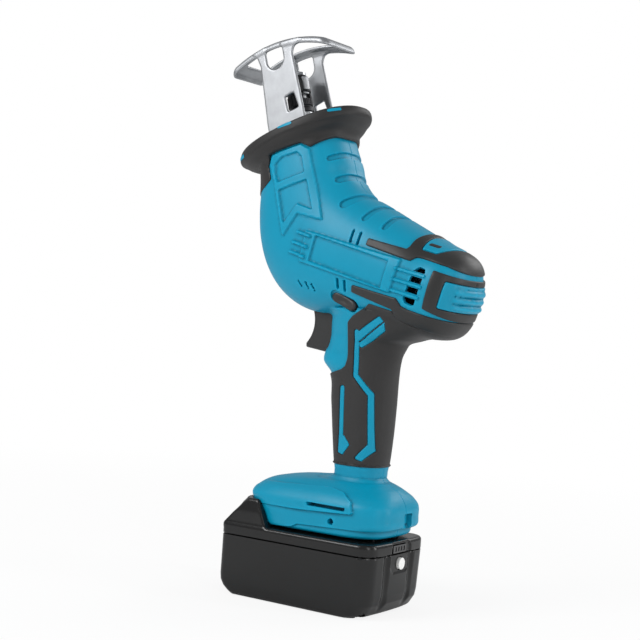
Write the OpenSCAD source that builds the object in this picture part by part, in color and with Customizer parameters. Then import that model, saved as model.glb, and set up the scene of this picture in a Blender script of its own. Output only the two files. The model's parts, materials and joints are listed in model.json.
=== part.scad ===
// Cordless reciprocating saw, standing on its slide-on battery.
// X runs from the trigger side (-) to the motor's rear end (+), Y across, Z up.
// The origin is the middle of the battery's bottom. The housing parts on the plane y = 0.

/* [Stance] */
// Fore-aft place of the crank centre, where the nose axis meets the motor axis
crank_x = -15.5; // [-19:0.5:-12]
// Height of the crank centre above the battery's bottom
crank_z = 247; // [244:0.5:252]
// Lean of the nose axis ahead of the vertical, degrees
nose_tilt = 16; // [13:0.5:19]
// Fall of the motor axis below the horizontal, degrees
barrel_tilt = 13; // [11:0.5:15]

/* [Housing] */
// Wall of the housing halves
wall = 3; // [2.4:0.1:3.6]
// Crank centre to the housing's open end under the boot
nose_len = 80; // [78:0.5:84]
// Nose depth ahead of the nose axis
nose_front = 36; // [35:0.5:38]
// Nose depth behind the nose axis
nose_rear = 34; // [33:0.5:36]
// Half width of the nose
nose_half_w = 30; // [29:0.5:32]
// Half width of the head and barrel
body_half_w = 33; // [32:0.5:35]
// Crank centre to the rear end of the barrel
barrel_len = 122.5; // [120:0.5:126]
// Barrel height above the motor axis where the rear dome starts
barrel_up = 27; // [26:0.5:29]
// Barrel depth below the motor axis
barrel_down = 31; // [29:0.5:33]
// Height of the head above the motor axis, behind the nose
head_up = 42.5; // [41:0.5:45]
// How far the head's lower front swells past a straight sweep
head_swell = 17; // [15:0.5:18.5]
// Length of the rear dome
dome_len = 25; // [22:0.5:28]

/* [Grip] */
// Fore-aft middle of the grip at its waist
grip_x = 25; // [24:0.5:28]
// Half depth of the grip at its waist
grip_half_d = 23; // [22:0.5:25]
// Half width of the grip
grip_half_w = 17.5; // [16.5:0.5:19]
// Height of the grip's lower end, at the foot's neck
grip_z = 98; // [96:0.5:100]
// How much the grip narrows towards its lower end
grip_taper = 4; // [2:0.5:5]
// Thickness of the soft overmould and trim
soft_t = 1.2; // [0.8:0.1:1.6]

/* [Foot] */
// Front of the foot, above the battery's hump
foot_front = -48.5; // [-50:0.5:-46]
// Rear of the foot
foot_rear = 64; // [62:0.5:66]
// Half width of the foot
foot_half_w = 34.5; // [34:0.5:36]
// Height of the foot's shoulder, where its top starts to round over
foot_shoulder_z = 73; // [71:0.5:75]
// Lean of the foot's front face, degrees from the vertical
foot_lean = 34; // [28:1:38]

/* [Battery] */
// Length of the battery case
pack_len = 125; // [121:1:129]
// Height of the battery case's shoulder, which the foot stands over
pack_z = 50.5; // [49:0.5:52]
// Height of the battery hump's top
hump_z = 68; // [66:0.5:70]
// Height of the seam between the case halves
seam_z = 42; // [40:0.5:44]
// Wall of the battery case
pack_wall = 2.4; // [2:0.1:3]
// Half width of the battery's raised rail block
rail_half_w = 25; // [23:0.5:26]
// Depth of the rail groove in each side of the block
rail_groove = 4.5; // [3.5:0.5:5]
// Thickness of the foot's rail ledges
ledge_t = 4.5; // [4:0.5:5]
// Cell radius
cell_r = 9.1; // [8.9:0.1:9.3]
// Cell length
cell_len = 65; // [64:0.5:66]

/* [Drive] */
// Crank radius, half of the blade's stroke
crank_r = 10; // [8:0.5:10]
// Outer radius of the crank gear's teeth
gear_r = 31; // [30:0.5:31.5]
// Teeth on the crank gear
gear_teeth = 36; // [36:4:36]
// Gear teeth for each pinion tooth
gear_ratio = 4; // [4:1:4]
// Radius of the plunger rod
rod_r = 4.5; // [4:0.1:5]
// Radius of the motor can
motor_r = 20.5; // [19:0.5:21]
// Radius of the motor shaft
shaft_r = 2.5; // [2:0.1:3]

/* [Blade clamp and shoe] */
// Crank centre to the top of the blade clamp at mid-stroke
clamp_top = 130; // [128:0.5:131]
// Outer radius of the clamp sleeve
sleeve_r = 8.8; // [8.4:0.1:9.2]
// Thickness of the shoe's sheet steel
sheet_t = 2.4; // [2:0.1:2.8]
// Half width over the shoe's arms
shoe_half_w = 20; // [19.5:0.5:21]
// Crank centre to the crown of the shoe's plate
shoe_top = 150.5; // [148:0.5:152]
// Bend radius of the plate, along its length
shoe_bend = 99; // [85:1:105]
// Length of the shoe's plate
shoe_len = 85; // [81:1:89]

/* [Controls] */
// Travel of the trigger
trigger_travel = 7; // [5:0.5:7]
// Half width of the trigger
trigger_half_w = 8; // [7:0.5:9]
// Length of the lock-off button's oval head
lock_len = 21; // [19:0.5:23]
// Travel of the lock-off button, side to side
lock_travel = 4; // [3:0.5:4.5]

/* [Hidden] */
$fn = 48;
BIG = 400;
gap = 0.3;
fit = 0.05;

teal = [0.16, 0.60, 0.76];
soft_black = [0.2, 0.2, 0.2];
case_black = [0.16, 0.16, 0.17];
steel = [0.75, 0.76, 0.78];
cast = [0.6, 0.61, 0.62];

// Directions in the side plane, as [x, z]
crank = [crank_x, crank_z];
nose_dir = [-sin(nose_tilt), cos(nose_tilt)];
nose_side = [cos(nose_tilt), sin(nose_tilt)];
barrel_dir = [cos(barrel_tilt), -sin(barrel_tilt)];
barrel_side = [sin(barrel_tilt), cos(barrel_tilt)];

function lerp(a, b, t) = a + (b - a) * t;
function signed_pow(v, e) = sign(v) * pow(abs(v), e);
function at_angle(a) = [cos(a), sin(a)];
function cross2(a, b) = a[0] * b[1] - a[1] * b[0];
// Where the line from p along d meets the line from q along e
function meet(p, d, q, e) = p + d * cross2(q - p, e) / cross2(d, e);

// A section of a lofted skin: [rear or upper edge, front or lower edge, half width,
// squareness of the rear or upper half, squareness of the front or lower half]
function nose_section(u, front, rear, half_w) =
    [crank + u * nose_dir + rear * nose_side, crank + u * nose_dir - front * nose_side, half_w, 2.6, 2.3];
function barrel_section(s, up, down, half_w) =
    [crank + s * barrel_dir + up * barrel_side, crank + s * barrel_dir - down * barrel_side, half_w, 2.4, 2.6];
function level_section(z, front, rear, half_w, square, front_square) =
    [[rear, z], [front, z], half_w, square, front_square == undef ? square : front_square];

// The closed ring of a section, grown outwards by grow
function ring(section, grow, n) =
    let (
        middle = (section[0] + section[1]) / 2,
        half = (section[0] - section[1]) / 2,
        reach = half * (1 + grow / norm(half)),
        half_w = section[2] + grow
    )
    [for (i = [0:n - 1])
        let (
            e = 2 / (cos(360 * i / n) > 0 ? section[3] : section[4]),
            c = signed_pow(cos(360 * i / n), e),
            s = signed_pow(sin(360 * i / n), e)
        )
        [middle[0] + c * reach[0], s * half_w, middle[1] + c * reach[1]]];

// The head and barrel: straight up the nose, swept round the throat, then along the motor
throat_u = 52;
throat_s = 36;
throat_front = nose_front + 2.7;
throat_rear = nose_rear + 2.2;
throat_a = nose_section(throat_u, throat_front, throat_rear, nose_half_w + 0.5);
throat_b = barrel_section(throat_s, head_up, barrel_down + 6, body_half_w);
pivot = meet(throat_a[0], nose_side, throat_b[0], barrel_side);

function sweep_section(t) =
    let (
        ray = at_angle(lerp(180 + nose_tilt, 270 - barrel_tilt, t)),
        inner = lerp(norm(throat_a[0] - pivot), norm(throat_b[0] - pivot), t),
        outer = lerp(norm(throat_a[1] - pivot), norm(throat_b[1] - pivot), t) + head_swell * sin(180 * pow(t, 1.2))
    )
    [pivot + inner * ray, pivot + outer * ray, lerp(throat_a[2], throat_b[2], sin(90 * t)), 2.6, 2.3];

function dome_section(t, rear_end) =
    barrel_section(rear_end - dome_len * (1 - t),
        lerp(barrel_up, barrel_up - 4, t) * sqrt(1 - 0.78 * pow(t, 5)),
        (barrel_down + 4.5 * (1 - t)) * sqrt(1 - 0.68 * pow(t, 6)),
        (body_half_w - 2) * sqrt(1 - 0.95 * pow(t, 3)));

function body_rings(grow) =
    let (
        rear_end = barrel_len + grow,
        sections = concat(
            [nose_section(nose_len + (grow < 0 ? 1 : 0), nose_front - 2, nose_rear - 1, nose_half_w - 2),
                nose_section(66, nose_front - 0.5, nose_rear + 0.5, nose_half_w - 0.5)],
            [for (i = [0:5]) sweep_section(i / 6)],
            [throat_b,
                barrel_section(57, lerp(head_up, barrel_up, 0.33), barrel_down + 4, body_half_w + 0.5),
                barrel_section(79, lerp(head_up, barrel_up, 0.67), barrel_down + 3.5, body_half_w)],
            [for (t = [0, 0.45, 0.75, 0.91, 1]) dome_section(t, rear_end)])
    )
    [for (s = sections) ring(s, grow, grow < 0 ? 12 : 18)];

// The grip, flaring into the barrel's belly above and the foot's neck below
grip_top = 206;
web_z = 188.5;
function grip_rings(grow) =
    let (
        front = grip_x - grip_half_d,
        rear = grip_x + grip_half_d,
        low = grip_taper / 2,
        sections = [
            level_section(grip_z - 6, front + low + 4.5, rear - low - 2, grip_half_w - 1.8, 2.4),
            level_section(grip_z, front + low + 3, rear - low - 1, grip_half_w - 1, 2.4),
            level_section(120, front + 2.8, rear - 0.8, grip_half_w - 0.5, 2.4),
            level_section(141, front, rear, grip_half_w, 2.4),
            level_section(161, front - 3, rear + 0.4, grip_half_w, 2.4),
            level_section(169.5, front - 9, rear + 0.8, grip_half_w, 2.4),
            level_section(174, front - 8.5, rear + 1.6, grip_half_w, 2.4),
            level_section(180, front - 5, rear + 4, grip_half_w + 1, 2.4),
            level_section(184.5, front - 4, rear + 7, grip_half_w + 2, 2.3),
            level_section(web_z, front - 4, rear + 19, grip_half_w + 3.5, 2.2),
            level_section(196, front - 4, rear + 33, grip_half_w + 6, 2.2),
            level_section(grip_top, front - 2, rear + 20, grip_half_w + 7, 2.2)
        ]
    )
    [for (s = sections) ring(s, grow, grow < 0 ? 10 : 14)];

// The foot: slanted front, rounded rear, domed top running into the grip's neck
foot_z = pack_z + 0.5;
slant = tan(foot_lean);
function foot_rings(grow) =
    let (
        neck_front = grip_x - grip_half_d + grip_taper / 2 + 3,
        neck_rear = grip_x + grip_half_d - grip_taper / 2 - 1,
        rise = foot_shoulder_z - foot_z,
        sections = [
            level_section(foot_z, foot_front + rise * slant, foot_rear - 4, foot_half_w - 1.5, 4, 9),
            level_section(foot_z + 3.5, foot_front + (rise - 3.5) * slant, foot_rear - 1, foot_half_w, 4, 9),
            level_section(foot_z + 15, foot_front + (rise - 15) * slant, foot_rear, foot_half_w, 4, 9),
            level_section(foot_shoulder_z, foot_front, foot_rear, foot_half_w - 0.5, 4, 8),
            level_section(foot_shoulder_z + 5, foot_front + 2.5, foot_rear - 2, foot_half_w - 3, 3.6, 6),
            level_section(foot_shoulder_z + 10, foot_front + 11, foot_rear - 6.5, foot_half_w - 8.5, 3, 4),
            level_section(foot_shoulder_z + 14, foot_front + 30, foot_rear - 13, foot_half_w - 14, 2.7),
            level_section(grip_z - 8, neck_front - 4, neck_rear + 1, grip_half_w + 0.5, 2.5),
            level_section(grip_z - 4, neck_front + 0.5, neck_rear - 1, grip_half_w - 1.4, 2.4),
            level_section(grip_z + 1, neck_front, neck_rear, grip_half_w - 1, 2.4)
        ]
    )
    [for (s = sections) ring(s, grow, grow < 0 ? 12 : 20)];

// A skin through a chain of convex rings
module loft(rings) {
    for (i = [0:len(rings) - 2])
        hull()
            polyhedron(points = concat(rings[i], rings[i + 1]),
                faces = [for (k = [0:2 * len(rings[i]) - 3]) [k, k + 1, k + 2]]);
}

module skin(grow) {
    loft(body_rings(grow));
    loft(grip_rings(grow));
    loft(foot_rings(grow));
}

// Frames: local z up the nose axis, or local x along the motor axis, from the crank centre
module in_nose() {
    translate([crank_x, 0, crank_z]) rotate([0, -nose_tilt, 0]) children();
}

module in_barrel() {
    translate([crank_x, 0, crank_z]) rotate([0, barrel_tilt, 0]) children();
}

// A side-plane outline given as (x, z), made a bar across from y0 to y1
module across(y0, y1) {
    translate([0, y1, 0]) rotate([90, 0, 0]) linear_extrude(y1 - y0) children();
}

// Side-plane outlines drawn along the motor axis, from the barrel's rear end
module from_rear() {
    translate(crank + barrel_len * barrel_dir) rotate(-barrel_tilt) children();
}

// One side of the parting plane: -1 for the left half, 1 for the right
module half_space(side) {
    translate([-BIG / 2, side < 0 ? -BIG : 0, -BIG / 4]) cube([BIG, BIG, 2 * BIG]);
}

module along_x(r, x0, x1) {
    translate([x0, 0, 0]) rotate([0, 90, 0]) cylinder(r = r, h = x1 - x0);
}

module along_y(r, x, z, y0, y1, facets = 48) {
    translate([x, y1, z]) rotate([90, 0, 0]) cylinder(r = r, h = y1 - y0, $fn = facets);
}

// A slot with round ends, from a to b in the side plane
module slot(a, b, r, facets = 12) {
    way = b - a;
    translate(a) circle(r, $fn = facets);
    translate(b) circle(r, $fn = facets);
    translate(a) rotate(atan2(way[1], way[0])) translate([0, -r]) square([norm(way), 2 * r]);
}

/* Driveline places along the motor axis, from the crank centre */
bearing_s = gear_r + 2;
bearing_w = 5;
bearing_r = 8;
fan_s = bearing_s + bearing_w + 1.5;
fan_w = 6;
can_s = fan_s + fan_w + 1.5;
bell_len = 11;
tail_room = 12.5;
can_end = barrel_len - tail_room - bell_len;
shaft_end = can_end + bell_len - 2;

/* Places of the controls */
lock_x = 19;
lock_z = 210.5;
lock_w = 7;
lock_proud = 1.6;
switch_front = 17;
terminal_x = foot_rear - wall - 12.4;

// Screws joining the halves: [x, z]
screw_spots = concat(
    [[-54, 268], [-57, 239], [26, 168], [26, 112], [-26, 74], [50, 76]],
    [for (n = [-15, 16.5]) crank + (barrel_len - 10) * barrel_dir + n * barrel_side]);
screw_r = 1.5;
boss_r = 3.6;
head_r = 3;
side_reach = 40;

// Hooked at the top, hollow in front for the finger
module trigger_outline() {
    difference() {
        polygon([[-22.5, 207], [-19, 177.5], [8, 173], [9, 176], [9, 204], [6, 207]]);
        translate([-36, 195]) circle(22, $fn = 64);
    }
}

module vent_outline() {
    from_rear() polygon([[-31, 6.5], [-27, 11.5], [-22, 11], [-24.5, -14.5], [-29.5, -13.5], [-33.5, -10]]);
}

module side_panel_outline() {
    polygon([[-6, 259], [58, 241], [66, 246], [86, 240], [92, 236], [84, 207], [70, 208], [53, 219], [-15, 237]]);
}

module side_field_outline() {
    polygon([[-2, 255.5], [56, 239.5], [51.5, 221.5], [-9.5, 237.5]]);
}

module flag_fields_outline() {
    polygon([[-43.5, 303], [-40, 307.5], [-25, 313], [-20, 310.5], [-15.5, 297], [-38.5, 289]]);
    polygon([[-38, 285.5], [-14, 294], [-6.5, 272], [-21, 275.5], [-30, 262.5]]);
}

// Raised bands across the back of the nose: [lower end, upper end] of each groove between them
band_grooves = [[[-7, 311], [12, 316]], [[-4, 299], [17, 303]], [[1, 287], [24, 289]], [[10, 275], [32, 275.5]]];
module band_groove_outline() {
    for (g = band_grooves) slot(g[0], g[1] + [40, 8], 1.1);
}

module flag_outline() {
    polygon([[-21, 318], [-15, 314], [2, 264], [-19, 269], [-31, 252], [-43, 292], [-47, 303], [-44, 310]]);
}

module housing_half(side) {
    near = side < 0;
    difference() {
        intersection() {
            union() {
                skin(0);
                intersection() {
                    skin(0.9);
                    across(side < 0 ? -BIG : 24, side < 0 ? -24 : BIG)
                        difference() {
                            union() {
                                side_panel_outline();
                                flag_outline();
                            }
                            side_field_outline();
                            flag_fields_outline();
                            upper_trim_outline();
                            lower_trim_outline();
                            band_outline();
                            pad_outline();
                        }
                }
            }
            half_space(side);
        }
        difference() {
            skin(-wall);
            // Screw bosses, the motor's cradle ribs and the rail ledges stay solid inside
            for (p = screw_spots) along_y(boss_r, p[0], p[1], -side_reach, side_reach, 16);
            in_barrel()
                for (s = [can_s + 6, can_end - 6])
                    difference() {
                        translate([s, -side_reach, -barrel_down]) cube([2, 2 * side_reach, 2 * barrel_down]);
                        along_x(motor_r + gap / 3, s - 1, s + 3);
                    }
            ledges();
        }
        // Grooves behind the nose
        difference() {
            across(side < 0 ? -side_reach : 3, side < 0 ? -3 : side_reach) band_groove_outline();
            skin(-0.8);
        }
        // Room for the gear case
        across_local(case_near - case_wall - gap, case_far + cover_t + gap) circle(case_r + gap, $fn = 64);
        // Battery way through the foot's front
        translate([-BIG / 2, -rail_half_w - 0.5, foot_z + ledge_t])
            cube([BIG / 2, 2 * rail_half_w + 1, hump_z - 5.5 - foot_z - ledge_t]);
        translate([-BIG / 2, -rail_half_w + rail_groove - 0.5, foot_z - 1])
            cube([BIG / 2 + foot_rear - 10, 2 * (rail_half_w - rail_groove) + 1, ledge_t + 2]);
        // Trigger slot and the lock-off button's hole
        translate([-26, -trigger_half_w - 0.4, 172.6])
            cube([26 + switch_front, 2 * trigger_half_w + 0.8, 34.4]);
        across(-side_reach, side_reach) lock_outline(0.35);
        // Vents
        difference() {
            across(-side_reach, side_reach) vent_outline();
            across(-side_reach, side_reach) vent_bars();
        }
        across(-side_reach, side_reach) slit_pairs();
        across(side < 0 ? -side_reach : side_reach - 12, side < 0 ? -side_reach + 12 : side_reach)
            slot([8, 72], [37, 71], 0.8);
        // Screw holes, with the heads let into the right half
        for (p = screw_spots) along_y(screw_r, p[0], p[1], near ? -14 : -1, 15, 16);
        if (!near)
            for (p = screw_spots) along_y(head_r + 0.3, p[0], p[1], 12, BIG, 16);
        if (near) along_y(2, 26, 62, -BIG, -foot_half_w + 8, 16);
        // Strap notch in the foot's rear corner
        translate([foot_rear - 6, side * 22 - 3, foot_z + 1]) cube([10, 6, 12]);
    }
}

module ledges() {
    for (side = [-1, 1])
        translate([-BIG / 2, side < 0 ? -side_reach : rail_half_w - rail_groove + 0.5, foot_z - 1])
            cube([BIG, side_reach - rail_half_w + rail_groove - 0.5, ledge_t + 1]);
}

module lock_outline(grow) {
    translate([lock_x, lock_z]) rotate(-barrel_tilt - 10)
        slot([-(lock_len - lock_w) / 2, 0], [(lock_len - lock_w) / 2, 0], lock_w / 2 + grow, 32);
}

module vent_bars() {
    for (i = [0:2])
        from_rear() slot([-43, 6 - 7.2 * i], [-21, 6 - 7.2 * i], 1.1);
}

module slit_pairs() {
    for (i = [0, 1]) {
        translate([27 + 6 * i, 255 - 1 * i]) rotate(76) slot([-3.5, 0], [3.5, 0], 1);
        translate([17 + 6 * i, 222.5 - 2 * i]) rotate(100) slot([-3, 0], [3, 0], 1);
    }
    for (i = [0:2])
        translate([-15 + 5 * i, 221 - 1 * i]) rotate(-52) slot([-2, 0], [2, 0], 0.55);
}

// Soft skin over the outer form, within an outline, on one side
module soft_patch(side, thick) {
    difference() {
        intersection() {
            skin(thick);
            half_space(side);
            across(-BIG / 4, BIG / 4) children();
        }
        skin(0);
    }
}

module housing_left() {
    color(teal) housing_half(-1);
}

module housing_right() {
    color(teal) housing_half(1);
}

module grip_outline() {
    difference() {
        polygon([[-9, grip_z + 0.4], [60, grip_z + 0.4], [60, 178], [110, 178], [112, 189], [74, 195.5], [66, 200],
            [59, 205.5], [36, 210.5], [20, 197], [19.5, 171], [17, 165.5], [2, 160.5], [-9, 159]]);
        grip_inlays();
        offset(delta = gap) lower_trim_outline();
    }
}

inlay_path = [[28.5, 186], [27, 160], [38.5, 147], [41.5, 112]];

// Teal shapes that show through the grip's overmould
module grip_inlays() {
    polygon([[26.5, 189], [43.5, 202], [47.5, 194.5], [30.5, 179]]);
    for (i = [0:len(inlay_path) - 2]) slot(inlay_path[i], inlay_path[i + 1], 1.1);
    polygon([[40, 113.5], [43, 110], [34.5, 104], [31, 105.5]]);
    slot([16.5, 151], [18, 110], 1.3);
    polygon([[20, 117], [25, 113], [21.5, 106.5], [17.2, 107]]);
}

module grip_left() {
    color(soft_black) soft_patch(-1, soft_t) grip_outline();
}

module grip_right() {
    color(soft_black) soft_patch(1, soft_t) grip_outline();
}

module upper_trim_outline() {
    from_rear()
        polygon([[-70, 14.5], [-70, 19.5], [-40, 19], [-39, 25.5], [-37.5, 48.5], [6.5, 43], [18.5, 13.5],
            [-24.5, 16.5], [-30.5, 16.5], [-35.5, 12.5], [-42, 13.5]]);
}

module upper_trim(side) {
    color(soft_black)
        difference() {
            soft_patch(side, soft_t) upper_trim_outline();
            across(-BIG / 4, BIG / 4) badge_outline();
        }
}

module badge_outline() {
    from_rear() polygon([[-31.5, 21.5], [-22.5, 21.5], [-12.5, 31.5], [-14.5, 40.5], [-23, 38.5]]);
}

module upper_trim_left() {
    upper_trim(-1);
}

module upper_trim_right() {
    upper_trim(1);
}

module lower_trim_outline() {
    from_rear()
        polygon([[-74, -18.5], [-74, -15], [-43, -15], [-35, -20], [-28, -20.5], [20, -20.5], [20, -25.5],
            [-29, -25.5], [-34.5, -23.5], [-41, -18.8]]);
}

module lower_trim_left() {
    color(soft_black) soft_patch(-1, soft_t) lower_trim_outline();
}

module lower_trim_right() {
    color(soft_black) soft_patch(1, soft_t) lower_trim_outline();
}

// The rear band frames the ribbed pad on three sides
module band_outline() {
    difference() {
        from_rear() polygon([[-16.5, 11], [-16.5, -14], [28, -14], [28, 11]]);
        pad_outline();
    }
}

module pad_outline() {
    from_rear() polygon([[-6.5, 7], [-7.5, -10], [28, -10], [28, 7]]);
}

module rear_band_left() {
    color(soft_black) soft_patch(-1, soft_t) band_outline();
}

module rear_band_right() {
    color(soft_black) soft_patch(1, soft_t) band_outline();
}

module rear_pad() {
    rib_n = 4;
    color(teal)
        intersection() {
            difference() {
                skin(soft_t + 0.6);
                skin(0);
                for (i = [0:rib_n - 1])
                    across(-BIG / 4, BIG / 4) from_rear() translate([-4, 3.9 - 4.1 * i]) square([BIG / 8, 1.3]);
            }
            across(-BIG / 4, BIG / 4) pad_outline();
            translate([0, -BIG / 2, 0]) cube([BIG, BIG, BIG]);
        }
}

module cap_badge() {
    color(teal)
        intersection() {
            difference() {
                skin(soft_t + 0.3);
                skin(0);
                for (side = [-1, 1])
                    across(side < 0 ? -BIG / 4 : 0, side < 0 ? 0 : BIG / 4) from_rear() slot([-27, 24], [-22, 24.4], 0.9);
            }
            across(-BIG / 4, BIG / 4) offset(-0.2) badge_outline();
        }
}

/* Boot */
rim_u = 88;
rim_half_w = 35.5;
boot_wall = 4.2;

function boot_rings(grow) =
    let (sections = [
        nose_section(46, nose_front + 3, nose_rear + 3, nose_half_w + 1),
        nose_section(60, nose_front + 1.2, nose_rear + 1.7, nose_half_w + 1.2),
        nose_section(66, nose_front + 2.5, nose_rear + 1.2, nose_half_w + 1.2),
        tilted(72, nose_front + 8, nose_rear + 4, nose_half_w + 3),
        tilted(77, nose_front + 14.5, nose_rear + 11, rim_half_w - 0.8),
        tilted(81.5, nose_front + 18.5, nose_rear + 16, rim_half_w),
        tilted(86, nose_front + 16, nose_rear + 15.5, rim_half_w - 0.6),
        tilted(rim_u, nose_front + 10.5, nose_rear + 11, rim_half_w - 4)])
    [for (s = sections) ring(s, grow, 24)];

rim_rise = 3.5;
function tilted(u, front, rear, half_w) =
    [crank + (u + rim_rise) * nose_dir + rear * nose_side, crank + (u - rim_rise) * nose_dir - front * nose_side,
        half_w, 2.3, 2.2];

module boot_outline() {
    polygon([[-120, 270], [-66, 283], [-58, 287], [-45, 293], [-47.5, 303], [-46, 310.5], [-22, 319.5], [-15, 315],
        [-4, 320], [7, 321.5], [40, 325], [40, 370], [-120, 370]]);
}

module nose_boot() {
    color(soft_black)
        difference() {
            intersection() {
                loft(boot_rings(0));
                across(-BIG / 4, BIG / 4) boot_outline();
            }
            skin(0);
            loft([for (s = [nose_section(nose_len - 1, nose_front - 6, nose_rear - 5, nose_half_w - 6),
                nose_section(nose_len + 30, nose_front - 6, nose_rear - 5, nose_half_w - 6)]) ring(s, 0, 24)]);
            rim_strips(0.1);
        }
}

// Short strips let into the rim, one pair on each side and one at each end
module rim_strips(grow) {
    difference() {
        intersection() {
            loft(boot_rings(0.2 + grow));
            in_nose()
                for (side = [-1, 1]) {
                    for (v = [6, 43])
                        translate([v, side * rim_half_w * 0.8, rim_u - 3.4 + v * 0.06]) rotate([0, -3.4, 0])
                            cube([12 + 2 * grow, 24, 2 + 2 * grow], center = true);
                    translate([side * (nose_front + 14), 0, rim_u - 3.6 + side * 3])
                        cube([14, 12 + 2 * grow, 2 + 2 * grow], center = true);
                }
        }
        loft(boot_rings(-1.4 - grow));
    }
}

module boot_strips() {
    color(teal) rim_strips(0);
}

/* Gear case */
pocket_r = gear_r + 1.7;
case_r = pocket_r + 1.8;
case_near = -10;
case_far = 14.2;
case_wall = 2.6;
block_v = 17;
block_half_w = shoe_half_w - sheet_t - 0.1;
block_top = 66;
tube_r = 12;
tube_top = 79;
bush_r = rod_r + 2.5;
gear_y = 7.2;

module gear_case() {
    color(cast)
        difference() {
            union() {
                across_local(case_near - case_wall, case_far) circle(case_r, $fn = 96);
                in_nose() {
                    translate([-block_v, -block_half_w, 26]) cube([2 * block_v, 2 * block_half_w, block_top - 26]);
                    translate([0, 0, block_top - 4]) cylinder(r = tube_r, h = tube_top - block_top + 4);
                }
                in_barrel() along_x(bearing_r + 4, 26, bearing_s + bearing_w);
            }
            across_local(case_near, case_far + 1) circle(pocket_r, $fn = 96);
            across_local(case_far, BIG / 4) circle(case_r, $fn = 96);
            in_nose() {
                translate([0, 0, -1]) cylinder(r = bush_r, h = tube_top + 2);
                translate([-15.4, -rod_r - 0.8, 0]) cube([30.8, 2 * rod_r + 1.6, 41]);
                for (v = [-9, 9], side = [-1, 1])
                    translate([v, side * (block_half_w + 0.1), 58]) rotate([side * 90, 0, 0])
                        cylinder(r = 1.6, h = 9.1);
            }
            in_barrel() {
                along_x(bearing_r, bearing_s, bearing_s + bearing_w + 1);
                along_x(bearing_r - 1.5, 10, bearing_s + 1);
            }
        }
}

// A disc or outline about the crank centre, from y0 to y1
module across_local(y0, y1) {
    translate([crank_x, y1, crank_z]) rotate([90, 0, 0]) linear_extrude(y1 - y0) children();
}

cover_t = 2.4;
seat_y = 20;
module gear_case_cover() {
    color(cast)
        difference() {
            union() {
                across_local(case_far, case_far + cover_t) circle(case_r, $fn = 96);
                across_local(case_far + cover_t - 0.5, seat_y + bearing_w) circle(bearing_r + 2.5);
            }
            across_local(seat_y - 0.4, seat_y + bearing_w + 1) circle(bearing_r);
            across_local(case_far - 1, seat_y) circle(bearing_r - 2);
        }
}

/* Crank gear and pinion: straight bevel teeth on cones that meet at the crank centre */
tooth_in = gear_r - 7;
pinion_teeth = gear_teeth / gear_ratio;
pitch_ratio = 1 / gear_ratio;
tooth_up = 1.0;
tooth_down = 1.5;
tooth_pitch = 2 * PI * gear_r / gear_teeth;
tooth_share = 0.36;

// One straight tooth, tapering towards the apex, standing up along local +z at distance 1 = the outer end
module bevel_tooth(mid, pitch, root, tip) {
    points = [for (k = [1, tooth_in / gear_r], level = [[root, 1.25], [pitch, 1], [tip, 0.55]], side = [-0.5, 0.5])
        k * [gear_r, side * level[1] * tooth_share * tooth_pitch, mid + level[0]]];
    hull() polyhedron(points = points, faces = [for (i = [0:len(points) - 3]) [i, i + 1, i + 2]]);
}

module crank_gear() {
    pitch_y = gear_r * pitch_ratio;
    bore_r = (7 + fit) / cos(180 / gear_teeth);
    color(steel)
        translate([crank_x, 0, crank_z])
            difference() {
                union() {
                    // Cone of the gear blank, its face towards the pinion
                    rotate([-90, 0, 0])
                        rotate_extrude($fn = gear_teeth)
                            polygon([[7, gear_y - 1], [14, gear_y - 1],
                                [tooth_in - 1, (pitch_y + tooth_down) * tooth_in / gear_r],
                                [gear_r, pitch_y + tooth_down], [gear_r, 13.6], [7, 13.6]]);
                    for (i = [0:gear_teeth - 1])
                        rotate([0, 360 * (i + 0.5) / gear_teeth + barrel_tilt, 0]) rotate([-90, 0, 0])
                            bevel_tooth(pitch_y, 0, tooth_down + 0.3, -tooth_up);
                    // Crank pin, on the nose's right-hand side at mid-stroke
                    rotate([0, -nose_tilt, 0]) translate([crank_r, 0, 0]) rotate([-90, 0, 0])
                        translate([0, 0, rod_r + 0.5]) cylinder(r = 3.4, h = 5, $fn = 24);
                }
                rotate([-90, 0, 0]) cylinder(r = bore_r, h = 30, $fn = gear_teeth);
            }
}

module crank_shaft() {
    color(steel)
        union() {
            across_local(gear_y - 1, 13.6) circle(7);
            across_local(13.6, 14.4) circle(5.5);
            across_local(14.4, seat_y + bearing_w - 0.2) circle(4 - fit);
        }
}

module bearing(r_in, r_out, w) {
    color(steel)
        rotate_extrude() {
            difference() {
                translate([r_in, 0]) square([r_out - r_in, w]);
                translate([(r_in + r_out) / 2 - 1, -1]) square([2, 1.5]);
                translate([(r_in + r_out) / 2 - 1, w - 0.5]) square([2, 1.5]);
            }
        }
}

module bearings() {
    color(steel) {
        in_barrel() {
            translate([bearing_s, 0, 0]) rotate([0, 90, 0]) bearing(shaft_r + fit, bearing_r, bearing_w);
            translate([can_end + 4, 0, 0]) rotate([0, 90, 0]) bearing(shaft_r + fit, bearing_r, 4);
        }
        translate([crank_x, seat_y - 0.4, crank_z]) rotate([-90, 0, 0]) bearing(4, bearing_r, bearing_w);
    }
}

module pinion() {
    pitch_r = gear_r * pitch_ratio;
    color(steel)
        in_barrel() {
            difference() {
                union() {
                    rotate([0, 90, 0])
                        rotate_extrude($fn = 36)
                            polygon([[0, tooth_in - 0.5], [(pitch_r - tooth_down) * tooth_in / gear_r, tooth_in - 0.5],
                                [pitch_r - tooth_down, gear_r], [0, gear_r]]);
                    for (i = [0:pinion_teeth - 1])
                        rotate([360 * i / pinion_teeth - 90, 0, 0])
                            bevel_tooth(pitch_r, 0, -tooth_down - 0.3, tooth_up);
                }
                rotate([0, 90, 0]) cylinder(r = (shaft_r + fit / 2) / cos(180 / 24), h = gear_r + 1, $fn = 24);
            }
        }
}

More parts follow.
